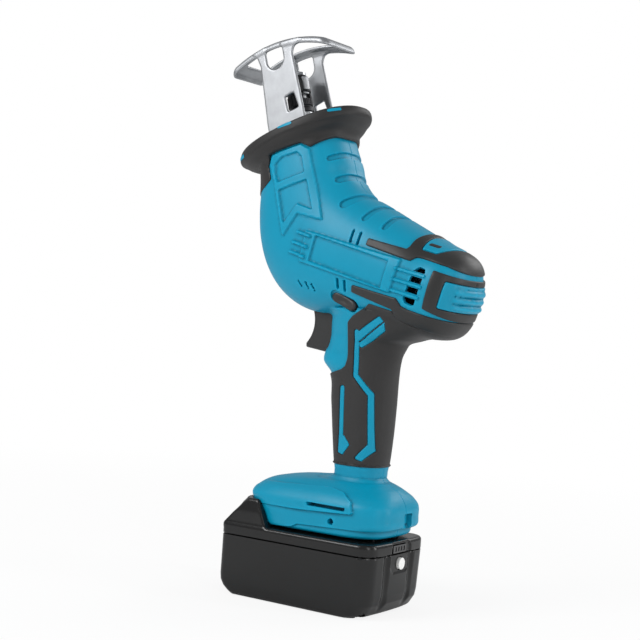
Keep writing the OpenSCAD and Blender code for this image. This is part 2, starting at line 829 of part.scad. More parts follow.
module armature() {
    color([0.45, 0.35, 0.25])
        in_barrel()
            rotate([0, 90, 0])
                rotate_extrude()
                    polygon([[0, tooth_in - 1], [shaft_r, tooth_in - 1], [shaft_r, can_s + 4], [5, can_s + 4],
                        [13, can_s + 7], [13.5, can_s + 11], [17, can_s + 11.5], [17, can_end - 18],
                        [13.5, can_end - 17.5], [12.5, can_end - 12], [7.5, can_end - 11], [7.5, can_end - 2],
                        [shaft_r, can_end - 2], [shaft_r, shaft_end], [0, shaft_end]]);
}

module cooling_fan() {
    fan_r = motor_r - 2;
    color(case_black)
        in_barrel()
            translate([fan_s, 0, 0]) rotate([0, 90, 0])
                difference() {
                    union() {
                        cylinder(r = 5.5, h = fan_w);
                        translate([0, 0, fan_w - 1.2]) cylinder(r = fan_r, h = 1.2);
                        for (i = [0:8])
                            rotate(40 * i) translate([4.5, -0.6, 0]) cube([fan_r - 5.5, 1.2, fan_w - 0.6]);
                    }
                    translate([0, 0, -1]) cylinder(r = shaft_r, h = fan_w + 2);
                }
}

module motor_can() {
    color(steel)
        in_barrel()
            difference() {
                along_x(motor_r, can_s, can_end);
                along_x(motor_r - 1.8, can_s + 1.8, can_end + 1);
                along_x(6, can_s - 1, can_s + 3);
                for (i = [0:5])
                    rotate([60 * i + 30, 0, 0]) translate([can_s - 1, -2.5, 10]) cube([4, 5, 7]);
                for (i = [0, 1])
                    rotate([180 * i, 0, 0]) translate([can_end - 10, -5, motor_r - 4]) cube([7, 10, 6]);
            }
}

module motor_end_bell() {
    color(case_black)
        in_barrel()
            difference() {
                union() {
                    along_x(motor_r, can_end, can_end + 3);
                    along_x(motor_r - 5, can_end + 2.9, can_end + bell_len - 2);
                }
                along_x(bearing_r, can_end + 4, can_end + 8);
                along_x(bearing_r - 1.5, can_end - 1, can_end + bell_len);
                for (i = [0:3])
                    rotate([90 * i + 45, 0, 0]) translate([can_end - 1, -3.5, 11]) cube([5, 7, 7]);
            }
}

/* Plunger and clamp */
rod_top = 98;
clamp_z = 93.6;
clamp_r = 6.4;
slot_depth = 20;
module plunger() {
    color(steel)
        in_nose() {
            difference() {
                union() {
                    translate([0, 0, 6]) cylinder(r = rod_r, h = rod_top - 6);
                    translate([-14.8, -rod_r, -7.5]) cube([29.6, 2 * rod_r, 15]);
                }
                translate([-12.6, -rod_r - 1, -3.9]) cube([25.2, 2 * rod_r + 2, 7.8]);
            }
        }
}

module plunger_bushings() {
    color([0.72, 0.58, 0.3])
        in_nose()
            for (z = [44, tube_top - 14])
                translate([0, 0, z])
                    difference() {
                        cylinder(r = bush_r, h = 12);
                        translate([0, 0, -1]) cylinder(r = rod_r + fit, h = 14);
                    }
}

module nose_seal() {
    color(soft_black)
        in_nose()
            rotate_extrude()
                polygon([[rod_r + gap, tube_top + 4], [rod_r + 1.5, tube_top + 4], [tube_r, tube_top + 1.5],
                    [tube_r + 1.5, tube_top + 1.5], [tube_r + 1.5, tube_top - 8], [tube_r, tube_top - 8],
                    [tube_r, tube_top], [bush_r, tube_top], [bush_r, tube_top - 1.9], [rod_r + gap, tube_top - 1.9]]);
}

module clamp_body() {
    color(steel)
        in_nose()
            difference() {
                union() {
                    translate([0, 0, clamp_z]) cylinder(r = clamp_r, h = clamp_top - clamp_z - 1);
                    translate([0, 0, clamp_z]) cylinder(r = sleeve_r - 0.6, h = 6);
                    translate([0, 0, clamp_top - 2]) cylinder(r = clamp_r + 1, h = 2);
                }
                translate([0, 0, clamp_z - 1]) cylinder(r = rod_r, h = rod_top - clamp_z + 1);
                translate([-5, -0.9, clamp_top - slot_depth]) cube([10, 1.8, slot_depth + 1]);
            }
}

// Turned by hand against a spring to free the blade; its window shows the clamp's jaw
module clamp_sleeve() {
    color(case_black)
        in_nose()
            difference() {
                translate([0, 0, clamp_z + 6.3]) cylinder(r = sleeve_r, h = clamp_top - clamp_z - 8.6);
                translate([0, 0, clamp_z + 5]) cylinder(r = clamp_r + fit, h = clamp_top);
                rotate(-60) translate([3, -3.5, clamp_z + 22]) cube([10, 7, 11]);
            }
}

/* Shoe */
arm_front = -18;
arm_rear = 14.6;
arm_foot = 48;
plate_half_w = 20;
plate_corner = 6;
lip = 2.6;
plate_mid = 0;
bend_mid = -3;

module plate_band(r0, r1) {
    translate([bend_mid, 0, shoe_top - shoe_bend])
        rotate([90, 0, 0])
            linear_extrude(2 * plate_half_w + 2, center = true)
                intersection() {
                    difference() {
                        circle(r1, $fn = 180);
                        circle(r0, $fn = 180);
                    }
                    translate([-shoe_len, r0 * 0.6]) square([2 * shoe_len, r1]);
                }
}

module plate_plan(long, inset) {
    r = plate_corner - inset;
    half = shoe_len / 2 + long - plate_corner;
    half_w = plate_half_w - plate_corner;
    linear_extrude(BIG / 2) {
        translate([plate_mid, 0]) {
            for (x = [-half, half], y = [-half_w, half_w]) translate([x, y]) circle(r);
            square([2 * half, 2 * (half_w + r)], center = true);
            square([2 * (half + r), 2 * half_w], center = true);
        }
    }
}

module shoe_arm(side) {
    y0 = side < 0 ? -shoe_half_w : shoe_half_w - sheet_t;
    crown = shoe_top - sheet_t + 0.4;
    translate([0, y0 + sheet_t, 0])
        rotate([90, 0, 0])
            linear_extrude(sheet_t)
                difference() {
                    polygon(concat(
                        [[arm_front, arm_foot], [arm_front, 95], [arm_front + 2.4, 137], [arm_front + 0.5, crown - 4.4],
                            [arm_front - 1.5, crown - 2.2], [arm_front + 8, crown - 0.8], [arm_rear + 5, crown - 2.8],
                            [arm_rear + 8, crown - 4.2]],
                        [for (a = [90:15:180]) [arm_rear + 8 + 8 * cos(a), crown - 12.2 + 8 * sin(a)]],
                        [[arm_rear, arm_foot]]));
                    translate([-2.2, 0]) {
                        translate([0, 139]) circle(7.2);
                        translate([-7.2, 139]) square([14.4, 20]);
                    }
                    polygon([[1.5, 98.5], [0.8, 109.5], [8.4, 111], [10.6, 99.5]]);
                    for (v = [-9, 9]) translate([v, 58]) circle(1.7);
                }
}

module shoe() {
    color(steel)
        in_nose() {
            difference() {
                union() {
                    intersection() {
                        plate_band(shoe_bend - sheet_t, shoe_bend);
                        plate_plan(0, 0);
                    }
                    // Long edges turned down
                    intersection() {
                        plate_band(shoe_bend - sheet_t - lip, shoe_bend - sheet_t / 2);
                        difference() {
                            plate_plan(0, 0);
                            plate_plan(6, sheet_t * 0.8);
                        }
                    }
                    for (side = [-1, 1]) shoe_arm(side);
                }
                // The way through the plate for the blade
                translate([-33, -12.5, 120]) cube([67, 25, 60]);
            }
        }
}

module shoe_screws() {
    color(case_black)
        in_nose()
            for (v = [-9, 9], side = [-1, 1])
                translate([v, side * shoe_half_w, 58]) rotate([side * -90, 0, 0]) {
                    difference() {
                        cylinder(r = 2.9, h = 1.6);
                        translate([0, 0, 0.8]) cylinder(r = 1.3, h = 1, $fn = 6);
                    }
                    translate([0, 0, -8]) cylinder(r = 1.6 - fit, h = 8.1);
                }
}

/* Controls */
stem_r = 2.5;
stem_z = 192;
module trigger() {
    color(soft_black) {
        across(-trigger_half_w, trigger_half_w) trigger_outline();
        translate([0, 0, stem_z]) along_x(stem_r, 8, switch_front + 6);
    }
}

module trigger_switch() {
    color(case_black)
        difference() {
            union() {
                translate([switch_front + 0.2, -9, 178]) cube([26, 18, 25.5]);
                translate([switch_front + 4, -7, 172]) cube([18, 14, 6.1]);
            }
            translate([0, 0, stem_z]) along_x(stem_r + fit, switch_front, switch_front + 8 + trigger_travel);
        }
}

module lock_button() {
    reach = 26.6;
    color(soft_black)
        across(-reach - lock_proud + lock_travel / 2, reach + lock_proud - lock_travel / 2) lock_outline(0);
}

module terminal_block() {
    color(case_black) {
        translate([terminal_x, -14, foot_z + 6.5]) cube([9, 28, 9]);
        for (y = [-9, 9])
            translate([terminal_x - 15, y - 0.4, foot_z + 7.5]) cube([16, 0.8, 4.5]);
    }
}

module housing_screws() {
    color(steel)
        for (p = screw_spots) {
            along_y(screw_r - fit, p[0], p[1], -13, 12.1);
            along_y(head_r, p[0], p[1], 12.05, 14.2);
        }
}

/* Battery */
// A level ring with corner radius r at the rear, less at the front, and a bowed rear face
function rounded_ring(x0, x1, half_w, r, z) =
    let (f = r - corner + front_corner)
    concat(
        [for (q = [[x1 - r, half_w - r, r, 0], [x0 + f, half_w - f, f, 90],
            [x0 + f, f - half_w, f, 180], [x1 - r, r - half_w, r, 270]])
            for (a = [0:18:90]) [q[0] + q[2] * cos(q[3] + a), q[1] + q[2] * sin(q[3] + a), z]],
        [for (t = [-0.6:0.3:0.6]) [x1 + rear_bow * (1 - t * t), t * half_w, z]]);

rear_bow = 2;
half_len = pack_len / 2;
rear_flat = half_len - rear_bow;
cell_room = 3.6;
pack_half_w = cell_len / 2 + pack_wall + cell_room;
corner = 11;
front_corner = 7;
groove_top = foot_z + ledge_t + 0.6;
hump_front = foot_face(hump_z) - 8;
block_top_z = hump_z - 7;
block_rear = terminal_x - 0.8;

function pack_rings(grow, z1) = [
    rounded_ring(-half_len + 4.5 - grow, rear_flat - 8 + grow, pack_half_w - 3 + grow, corner - 3, 0 - grow),
    rounded_ring(-half_len + 1.6 - grow, rear_flat - 4 + grow, pack_half_w - 1 + grow, corner - 1, 2.5 - grow / 2),
    rounded_ring(-half_len + 0.8 - grow, rear_flat - 1.2 + grow, pack_half_w - 0.4 + grow, corner, 9),
    rounded_ring(-half_len - grow, rear_flat + grow, pack_half_w + grow, corner, z1)];

module battery_lower() {
    color(case_black)
        difference() {
            loft(pack_rings(0, seam_z));
            loft(pack_rings(-pack_wall, seam_z + 1));
            // Upright grooves of the rear face and the finger notches under them
            for (y = [-16, 16]) {
                translate([half_len + 1.6, y, 16]) cylinder(r = 2.8, h = seam_z, $fn = 20);
                hull() {
                    translate([half_len + 1.5, y, -1]) cylinder(r = 6, h = 1, $fn = 20);
                    translate([half_len + 3, y, 16]) cylinder(r = 2.8, h = 1, $fn = 20);
                }
            }
            along_rear(check_r + 0.3, check_y, check_z, 10);
            for (p = pack_screw_spots) {
                translate([p[0], p[1], -1]) cylinder(r = 3.2, h = 3, $fn = 24);
                translate([p[0], p[1], -1]) cylinder(r = 1.4, h = BIG, $fn = 24);
            }
        }
}

pack_screw_spots = [for (x = [9.4 - half_len, rear_flat - 9.4], y = [-1, 1]) [x, y * (pack_half_w - 9.4)]];
gauge_y = -0.5;
gauge_w = 17;
gauge_z = seam_z + 0.8;
gauge_h = 5.2;
check_r = 4;
check_y = 2;
check_z = seam_z - 7;

// Plan of the hump at height z: front edge at x0, rear edge lying along the foot's front
function foot_face(z) = foot_front + (foot_shoulder_z - z) * slant;
function hump_ring(z, x0, half_w) =
    concat(
        [for (side = [-1, 1]) for (a = [90:18:180]) [x0 + 4 + 4 * cos(a), side * (half_w - 4 + 4 * sin(a)), z]],
        [for (side = [-1, 1]) [foot_face(z) - 0.5, side * half_w, z]]);

module battery_upper() {
    shoulder = 3.4;
    color(case_black)
        difference() {
            union() {
                difference() {
                    loft([
                        rounded_ring(-half_len, rear_flat, pack_half_w, corner, seam_z + 0.01),
                        rounded_ring(-half_len, rear_flat, pack_half_w, corner, pack_z - shoulder),
                        rounded_ring(-half_len + 1, rear_flat - 1, pack_half_w - 1, corner - 1, pack_z - 0.8),
                        rounded_ring(-half_len + 2, rear_flat - 2, pack_half_w - 2, corner - 2, pack_z)]);
                    loft([for (z = [seam_z - 1, pack_z - pack_wall])
                        rounded_ring(-half_len + pack_wall, rear_flat - pack_wall, pack_half_w - pack_wall,
                            corner - pack_wall, z)]);
                }
                loft([
                    hump_ring(pack_z - 2, -half_len + 2, pack_half_w - 2.2),
                    hump_ring(pack_z + 8, -half_len + 6.5, pack_half_w - 4),
                    hump_ring(hump_z - 2.5, hump_front, pack_half_w - 8),
                    hump_ring(hump_z, hump_front + 2, pack_half_w - 11)]);
                // Rail block
                translate([foot_face(pack_z) - 12, -rail_half_w + rail_groove, pack_z - 0.5])
                    cube([block_rear - foot_face(pack_z) + 12, 2 * (rail_half_w - rail_groove), block_top_z - pack_z + 0.5]);
                translate([foot_face(pack_z) - 12, -rail_half_w, groove_top])
                    cube([block_rear - foot_face(pack_z) + 12, 2 * rail_half_w, block_top_z - groove_top]);
            }
            // Contact slots, open to the rear
            for (y = [-9, 9])
                translate([block_rear - 19, y - 1.1, foot_z + 6.6]) cube([20, 2.2, 20]);
            release_pocket();
            // Window of the charge gauge
            translate([half_len - 4.5, gauge_y - gauge_w / 2 - 0.2, gauge_z - 0.2])
                cube([10, gauge_w + 0.4, gauge_h + 0.4]);
            for (p = pack_screw_spots) translate([p[0], p[1], seam_z - 1]) cylinder(r = 1.4, h = 5.5, $fn = 24);
        }
}

module along_rear(r, y, z, h) {
    translate([half_len - 4, y, z]) rotate([0, 90, 0]) cylinder(r = r, h = h, $fn = 32);
}

module battery_cells() {
    color([0.25, 0.45, 0.6])
        for (i = [-2:2], j = [0, 1])
            along_y(cell_r, i * 2.04 * cell_r - 0.5, pack_wall + 2.4 + cell_r + j * 2.04 * cell_r, -cell_len / 2, cell_len / 2);
}

module cell_frame() {
    color([0.85, 0.85, 0.8])
        for (side = [-1, 1])
            difference() {
                translate([-5.2 * cell_r - 0.5, side < 0 ? -cell_len / 2 - 0.9 : cell_len / 2 - 3, pack_wall + 1.4])
                    cube([10.4 * cell_r, 3.9, 4.1 * cell_r + 1.5]);
                for (i = [-2:2], j = [0, 1])
                    along_y(cell_r + 0.05, i * 2.04 * cell_r - 0.5, pack_wall + 2.4 + cell_r + j * 2.04 * cell_r,
                        -cell_len / 2, cell_len / 2);
            }
}

module battery_contacts() {
    color([0.72, 0.58, 0.3])
        for (y = [-9, 9], side = [-1, 1])
            translate([block_rear - 18, y + side * 0.75 - 0.25, foot_z + 6.7]) cube([8, 0.5, 3.4]);
}

// Release button, sliding down the hump's front face
release_travel = 3;
button_w = 30;
hump_lean = atan((hump_front + half_len - 6.5) / (hump_z - 10.5 - pack_z));
module release_frame() {
    translate([-half_len + 6.5, 0, pack_z + 8]) rotate([0, hump_lean, 0]) children();
}

module release_pocket() {
    release_frame() translate([-6, -button_w / 2 - 0.4, -2 - release_travel]) cube([9, button_w + 0.8, 9 + release_travel]);
}

module release_button() {
    color(case_black)
        release_frame() {
            translate([-0.8, -button_w / 2, -1.6]) cube([3.4, button_w, 8.3]);
            for (z = [0, 2.4, 4.8]) translate([-1.4, -button_w / 2 + 3, z]) cube([1, button_w - 6, 1]);
        }
}

module gauge_window() {
    color([0.1, 0.1, 0.12])
        translate([half_len - 4.2, gauge_y - gauge_w / 2, gauge_z])
            difference() {
                cube([3.8, gauge_w, gauge_h]);
                for (i = [0:3]) translate([3.4, 1.8 + 3.6 * i, 1.1]) cube([1, 2.4, 3]);
            }
}

module check_button() {
    color([0.9, 0.9, 0.9]) along_rear(check_r, check_y, check_z, 4.4);
}

module battery_screws() {
    color(steel)
        for (p = pack_screw_spots) {
            translate([p[0], p[1], 0.6]) cylinder(r = 2.9, h = 1.4, $fn = 24);
            translate([p[0], p[1], 1.9]) cylinder(r = 1.3, h = seam_z, $fn = 24);
        }
}

housing_left();
housing_right();
nose_boot();
boot_strips();
grip_left();
grip_right();
upper_trim_left();
upper_trim_right();
lower_trim_left();
lower_trim_right();
rear_band_left();
rear_band_right();
rear_pad();
cap_badge();
gear_case();
gear_case_cover();
crank_gear();
crank_shaft();
bearings();
pinion();
armature();
cooling_fan();
motor_can();
motor_end_bell();
plunger();
plunger_bushings();
nose_seal();
clamp_body();
clamp_sleeve();
shoe();
shoe_screws();
trigger();
trigger_switch();
lock_button();
terminal_block();
housing_screws();
battery_lower();
battery_upper();
battery_cells();
cell_frame();
battery_contacts();
release_button();
gauge_window();
check_button();
battery_screws();
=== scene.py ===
import json
import math
import bpy
import numpy as np
from mathutils import Matrix, Vector


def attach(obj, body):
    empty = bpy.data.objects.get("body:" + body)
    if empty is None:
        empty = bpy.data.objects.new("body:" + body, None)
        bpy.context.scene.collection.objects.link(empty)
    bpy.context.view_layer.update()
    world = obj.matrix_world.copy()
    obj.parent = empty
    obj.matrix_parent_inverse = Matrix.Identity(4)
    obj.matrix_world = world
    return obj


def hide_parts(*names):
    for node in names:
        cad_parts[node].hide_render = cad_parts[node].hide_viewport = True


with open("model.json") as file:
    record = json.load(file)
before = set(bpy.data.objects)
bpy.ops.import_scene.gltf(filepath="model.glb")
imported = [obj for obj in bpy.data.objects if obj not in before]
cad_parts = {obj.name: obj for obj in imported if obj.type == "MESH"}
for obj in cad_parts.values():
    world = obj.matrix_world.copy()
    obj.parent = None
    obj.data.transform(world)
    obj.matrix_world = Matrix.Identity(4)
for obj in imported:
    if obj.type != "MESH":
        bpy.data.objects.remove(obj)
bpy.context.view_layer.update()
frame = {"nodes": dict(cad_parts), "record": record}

MM = 0.001            # shapes are worked out in mm, and meshes are written in metres
SKIN_STEP = 1.2       # grid of the housing's skin, mm
SKIN_ANGLE, SOLID_ANGLE = 38.0, 50.0  # edges sharper than this many degrees stay sharp


# ---- materials
def linear(hex_colour):
    values = [int(hex_colour[i:i + 2], 16) / 255 for i in (0, 2, 4)]
    return [v / 12.92 if v <= 0.04045 else ((v + 0.055) / 1.055) ** 2.4 for v in values] + [1.0]


def shade(colour, k):
    return [min(1.0, c * k) for c in colour[:3]] + [1.0]


class Nodes:
    """Small helper round a material's node tree."""

    def __init__(self, name):
        self.material = bpy.data.materials.new(name)
        self.material.use_nodes = True
        self.tree = self.material.node_tree
        self.bsdf = self.tree.nodes["Principled BSDF"]
        self.coord = self.new("TexCoord")

    def new(self, kind, **inputs):
        node = self.tree.nodes.new("ShaderNode" + kind)
        self.set(node, **inputs)
        return node

    def set(self, node=None, **inputs):
        """Values on a node's sockets, or on the shader's own."""
        for key, value in inputs.items():
            (node or self.bsdf).inputs[key.replace("_", " ")].default_value = value

    def link(self, a, b):
        self.tree.links.new(a, b)

    def noise(self, scale, detail, rough, stretch=(1, 1, 1)):
        node = self.new("TexNoise", Scale=scale, Detail=detail, Roughness=rough)
        mapping = self.new("Mapping", Scale=stretch)
        self.link(self.coord.outputs["Object"], mapping.inputs["Vector"])
        self.link(mapping.outputs["Vector"], node.inputs["Vector"])
        return node.outputs["Fac"]

    def ramp(self, fac, stops):
        node = self.new("ValToRGB")
        ramp = node.color_ramp
        while len(ramp.elements) < len(stops):
            ramp.elements.new(0.5)
        for element, (place, colour) in zip(ramp.elements, stops):
            element.position = place
            element.color = colour
        self.link(fac, node.inputs["Fac"])
        return node.outputs["Color"]

    def mottled(self, fac, hex_colour, depth):
        """The colour, a little darker where fac is low and lighter where it is high."""
        colour = linear(hex_colour)
        return self.ramp(fac, [(0.3, shade(colour, 1 - depth)), (0.7, shade(colour, 1 + depth))])

    def painted_shade_and_highlight(self, colour, low, high):
        """The colour with painted shade in creases and a painted highlight along edges, from the mesh's
        pointiness.
        """
        point = self.new("NewGeometry").outputs["Pointiness"]
        painted_light_ramp = self.ramp(point, [(0.44, (low, low, low, 1)), (0.5, (1, 1, 1, 1)),
                                  (0.56, (high, high, high, 1))])
        mix = self.new("Mix")
        mix.data_type, mix.blend_type = "RGBA", "MULTIPLY"
        mix.inputs["Factor"].default_value = 1.0
        self.link(colour, mix.inputs["A"])
        self.link(painted_light_ramp, mix.inputs["B"])
        return mix.outputs["Result"]

    def spread(self, fac, low, high):
        node = self.new("MapRange", To_Min=low, To_Max=high)
        self.link(fac, node.inputs["Value"])
        return node.outputs["Result"]

    def bump(self, height, strength, distance, under=None):
        node = self.new("Bump", Strength=strength, Distance=distance)
        self.link(height, node.inputs["Height"])
        if under is not None:
            self.link(under, node.inputs["Normal"])
        return node.outputs["Normal"]


def moulded(name, colour, rough, spread, grain, depth, strength, mottle, specular=0.5, coat=0.0, sheen=0.0):
    """Moulded plastic or rubber: a fine spark-eroded grain, slow flow marks and a little uneven gloss."""
    m = Nodes(name)
    slow = m.noise(28.0, 4.0, 0.6)
    fine = m.noise(grain, 2.0, 0.5)
    # painted shade in creases (x0.6) and painted highlight along edges (x1.2) multiply the base colour
    m.link(m.painted_shade_and_highlight(m.mottled(slow, colour, mottle), 0.6, 1.2), m.bsdf.inputs["Base Color"])
    m.link(m.spread(m.noise(60.0, 5.0, 0.65), rough - spread, rough + spread), m.bsdf.inputs["Roughness"])
    wave = m.bump(slow, 0.12, 0.0004)
    m.link(m.bump(fine, strength, depth, wave), m.bsdf.inputs["Normal"])
    m.set(Specular_IOR_Level=specular, Coat_Weight=coat, Coat_Roughness=0.25)
    if sheen:
        m.set(Sheen_Weight=sheen, Sheen_Roughness=0.5)
    return m.material


def metal(name, colour, rough, spread, stretch, scale, strength, depth=0.00005, mottle=0.05):
    """Bare or plated metal with rolling marks along one direction and small blotches in the gloss."""
    m = Nodes(name)
    marks = m.noise(scale, 4.0, 0.6, stretch)
    blotch = m.noise(90.0, 4.0, 0.6)
    m.link(m.mottled(blotch, colour, mottle), m.bsdf.inputs["Base Color"])
    m.link(m.spread(marks, rough - spread, rough + spread), m.bsdf.inputs["Roughness"])
    m.link(m.bump(marks, strength, depth, m.bump(blotch, 0.1, 0.0003)), m.bsdf.inputs["Normal"])
    m.set(Metallic=1.0)
    return m.material


# moulded: colour, roughness and its spread, grain's scale, depth in m and strength, mottling, specular level
# metal: colour, roughness and its spread, stretch of the marks, their scale and strength, depth in m
MAT = {
    "teal": moulded("teal_plastic", "008DAE", 0.4, 0.05, 1100.0, 0.00005, 0.45, 0.03, 0.25),
    "rubber": moulded("soft_rubber", "262525", 0.6, 0.07, 1400.0, 0.00008, 0.7, 0.10, 0.38, sheen=0.08),
    "boot": moulded("boot_rubber", "1D1C1C", 0.52, 0.08, 1300.0, 0.00006, 0.5, 0.10, 0.42, sheen=0.04),
    "black": moulded("black_nylon", "232323", 0.45, 0.07, 900.0, 0.00006, 0.5, 0.10, 0.45),
    "case": moulded("battery_case", "121212", 0.22, 0.04, 1200.0, 0.00002, 0.12, 0.08, 0.4),
    "sheet": metal("zinc_sheet", "A3A5A8", 0.47, 0.09, (6, 1, 1), 160.0, 0.25, mottle=0.09),
    "steel": metal("machined_steel", "B9BBBE", 0.27, 0.08, (1, 1, 12), 260.0, 0.2),
    "oxide": metal("black_oxide", "3A3A3C", 0.42, 0.1, (1, 1, 1), 400.0, 0.3),
    "cast": metal("die_cast", "A7A9AB", 0.5, 0.1, (1, 1, 1), 700.0, 0.5, 0.0001),
    "bronze": metal("sintered_bronze", "9A7342", 0.45, 0.1, (1, 1, 1), 900.0, 0.4),
    "wrap": moulded("cell_wrap", "2F7D4A", 0.35, 0.05, 500.0, 0.00003, 0.3, 0.04),
    "window": moulded("gauge_window", "17181A", 0.14, 0.04, 400.0, 0.00001, 0.2, 0.05, coat=0.5),
    "white": moulded("white_plastic", "E4E4E2", 0.35, 0.05, 900.0, 0.00003, 0.3, 0.02),
}
SLOT = {"housing_plastic": "teal", "soft_rubber": "rubber", "dark_plastic": "black", "battery_plastic": "case",
        "sheet_steel": "sheet", "machined_steel": "steel", "black_oxide": "oxide", "cast_metal": "cast",
        "bronze": "bronze", "cell_wrap": "wrap", "window_plastic": "window", "white_plastic": "white"}
SLOT_OF = {material: slot for slot, material in SLOT.items()}


def paint(obj, material):
    if not obj.material_slots:
        obj.data.materials.append(MAT[material])
    for slot in obj.material_slots:
        slot.material = MAT[material]


for row in frame["record"]["subparts"]:
    paint(frame["nodes"][row["node"]], SLOT[row["material_slot"]])
paint(frame["nodes"]["clamp_body"], "steel")


# ---- the housing's skin, as a field
# Side-plane points are (x, z) in mm from the frame's origin, and repeat the solids' sizes. Along the nose
# u runs up and v to the rear; along the barrel s runs to the rear and n up. Both start at the crank.
def turned(degrees):
    a = math.radians(degrees)
    return np.array([math.cos(a), math.sin(a)])


CRANK = np.array([-15.5, 247.0])
NOSE, NOSE_SIDE = turned(106.0), turned(16.0)
BARREL, BARREL_SIDE = turned(-13.0), turned(77.0)
REAR_END = 122.5      # s of the barrel's rear end
FAN = 7               # sections in the bend between nose and barrel
MARGIN = 30           # how far round a skin its field is worked out
OUTSIDE = 25.0        # what the field says further out
FOOT_FRONT, FOOT_LEAN = -48.5, 0.6745  # x of the foot's nose at z 73, and how it draws back below that


def nose_at(u, v):
    return CRANK + u * NOSE + v * NOSE_SIDE


def barrel_at(s, n):
    return CRANK + s * BARREL + n * BARREL_SIDE


def section(upper, lower, half_w, square, lower_square=None):
    """One outline of a skin: two points in the side plane, the half width, and how square each end is."""
    return [*upper, *lower, half_w, square, square if lower_square is None else lower_square]


def nose_section(u, front, rear, half_w):
    return section(nose_at(u, rear), nose_at(u, -front), half_w, 2.6, 2.3)


def barrel_section(s, up, down, half_w):
    return section(barrel_at(s, up), barrel_at(s, -down), half_w, 2.4, 2.6)


def level_section(z, front, rear, half_w, square, front_square=None):
    return section((rear, z), (front, z), half_w, square, front_square)


def mix(a, b, t):
    return a + (b - a) * t


def body_sections():
    """The nose, the bend fanned out round the pivot of its two ends, and the barrel with its round rear."""
    a = nose_section(52, 38.7, 36.2, 30.5)
    b = barrel_section(36, 42.5, 37.0, 33.0)
    pa, pb = np.array(a[:2]), np.array(b[:2])
    cross = lambda p, q: p[0] * q[1] - p[1] * q[0]
    pivot = pa + NOSE_SIDE * cross(pb - pa, BARREL_SIDE) / cross(NOSE_SIDE, BARREL_SIDE)
    far = lambda row, i: math.hypot(row[i] - pivot[0], row[i + 1] - pivot[1])
    rows = [nose_section(82, 34, 33, 28), nose_section(66, 35.5, 34.5, 29.5)]
    for i in range(FAN):
        t = i / FAN
        ray = turned(mix(196.0, 257.0, t))
        inner = mix(far(a, 0), far(b, 0), t)
        outer = mix(far(a, 2), far(b, 2), t) + 17 * math.sin(math.pi * t ** 1.2)
        half_w = mix(30.5, 33.0, math.sin(math.pi / 2 * t))
        rows.append(section(pivot + inner * ray, pivot + outer * ray, half_w, 2.6, 2.3))
    rows += [b, barrel_section(57, mix(42.5, 27, 0.33), 35, 33.5),
             barrel_section(79, mix(42.5, 27, 0.67), 34.5, 33)]
    for t in (0, 0.2, 0.4, 0.55, 0.65, 0.75, 0.82, 0.88, 0.93, 0.97, 1):
        rows.append(barrel_section(REAR_END - 25 * (1 - t), mix(27, 23, t) * math.sqrt(1 - 0.78 * t ** 5),
                                   (31 + 4.5 * (1 - t)) * math.sqrt(1 - 0.68 * t ** 6),
                                   31 * math.sqrt(1 - 0.95 * t ** 3)))
    return rows


GRIP_SECTIONS = [level_section(*row) for row in (
    (92, 10.2, 43.6, 15.4, 2.4), (98, 9.2, 44.4, 16.1, 2.4), (120, 6, 46.5, 16.6, 2.4),
    (141, 3.4, 47.4, 17.1, 2.4), (161, 0.2, 47.9, 17.3, 2.4), (169.5, -7, 48.8, 17.5, 2.4),
    (174, -6.5, 49.6, 17.5, 2.4), (180, -3, 52, 18.5, 2.4), (184.5, -2, 55, 19.5, 2.3),
    (188.5, -2, 67, 21, 2.2), (196, -2, 81, 23.5, 2.2), (206, 0, 68, 24.5, 2.2))]
FOOT_SECTIONS = [level_section(z, FOOT_FRONT + drop * FOOT_LEAN, *row) for z, drop, *row in (
    (51, 22, 58, 33, 4, 5), (54.5, 18.5, 59.8, 34.5, 4, 5), (57.4, 15.6, 60.4, 34.5, 4, 5),
    (59.4, 13.6, 63.6, 34.5, 4, 5), (66, 7, 64.6, 34.5, 4, 5.4))]
FOOT_SECTIONS += [level_section(*row) for row in (
    (73, FOOT_FRONT, 64.4, 34, 4, 5.2), (78, -46, 62, 31.5, 3.6, 4.8), (83, -39.5, 57.3, 26, 3, 4),
    (86, -27, 52, 22, 2.8, 3.2), (87.6, -12, 48.5, 19.1, 2.6), (88.6, 3.5, 46.2, 17.6, 2.5),
    (91, 8.6, 44.2, 16.3, 2.4), (94.5, 9.8, 43.3, 15.6, 2.4), (99, 9.1, 44.4, 16.1, 2.4))]


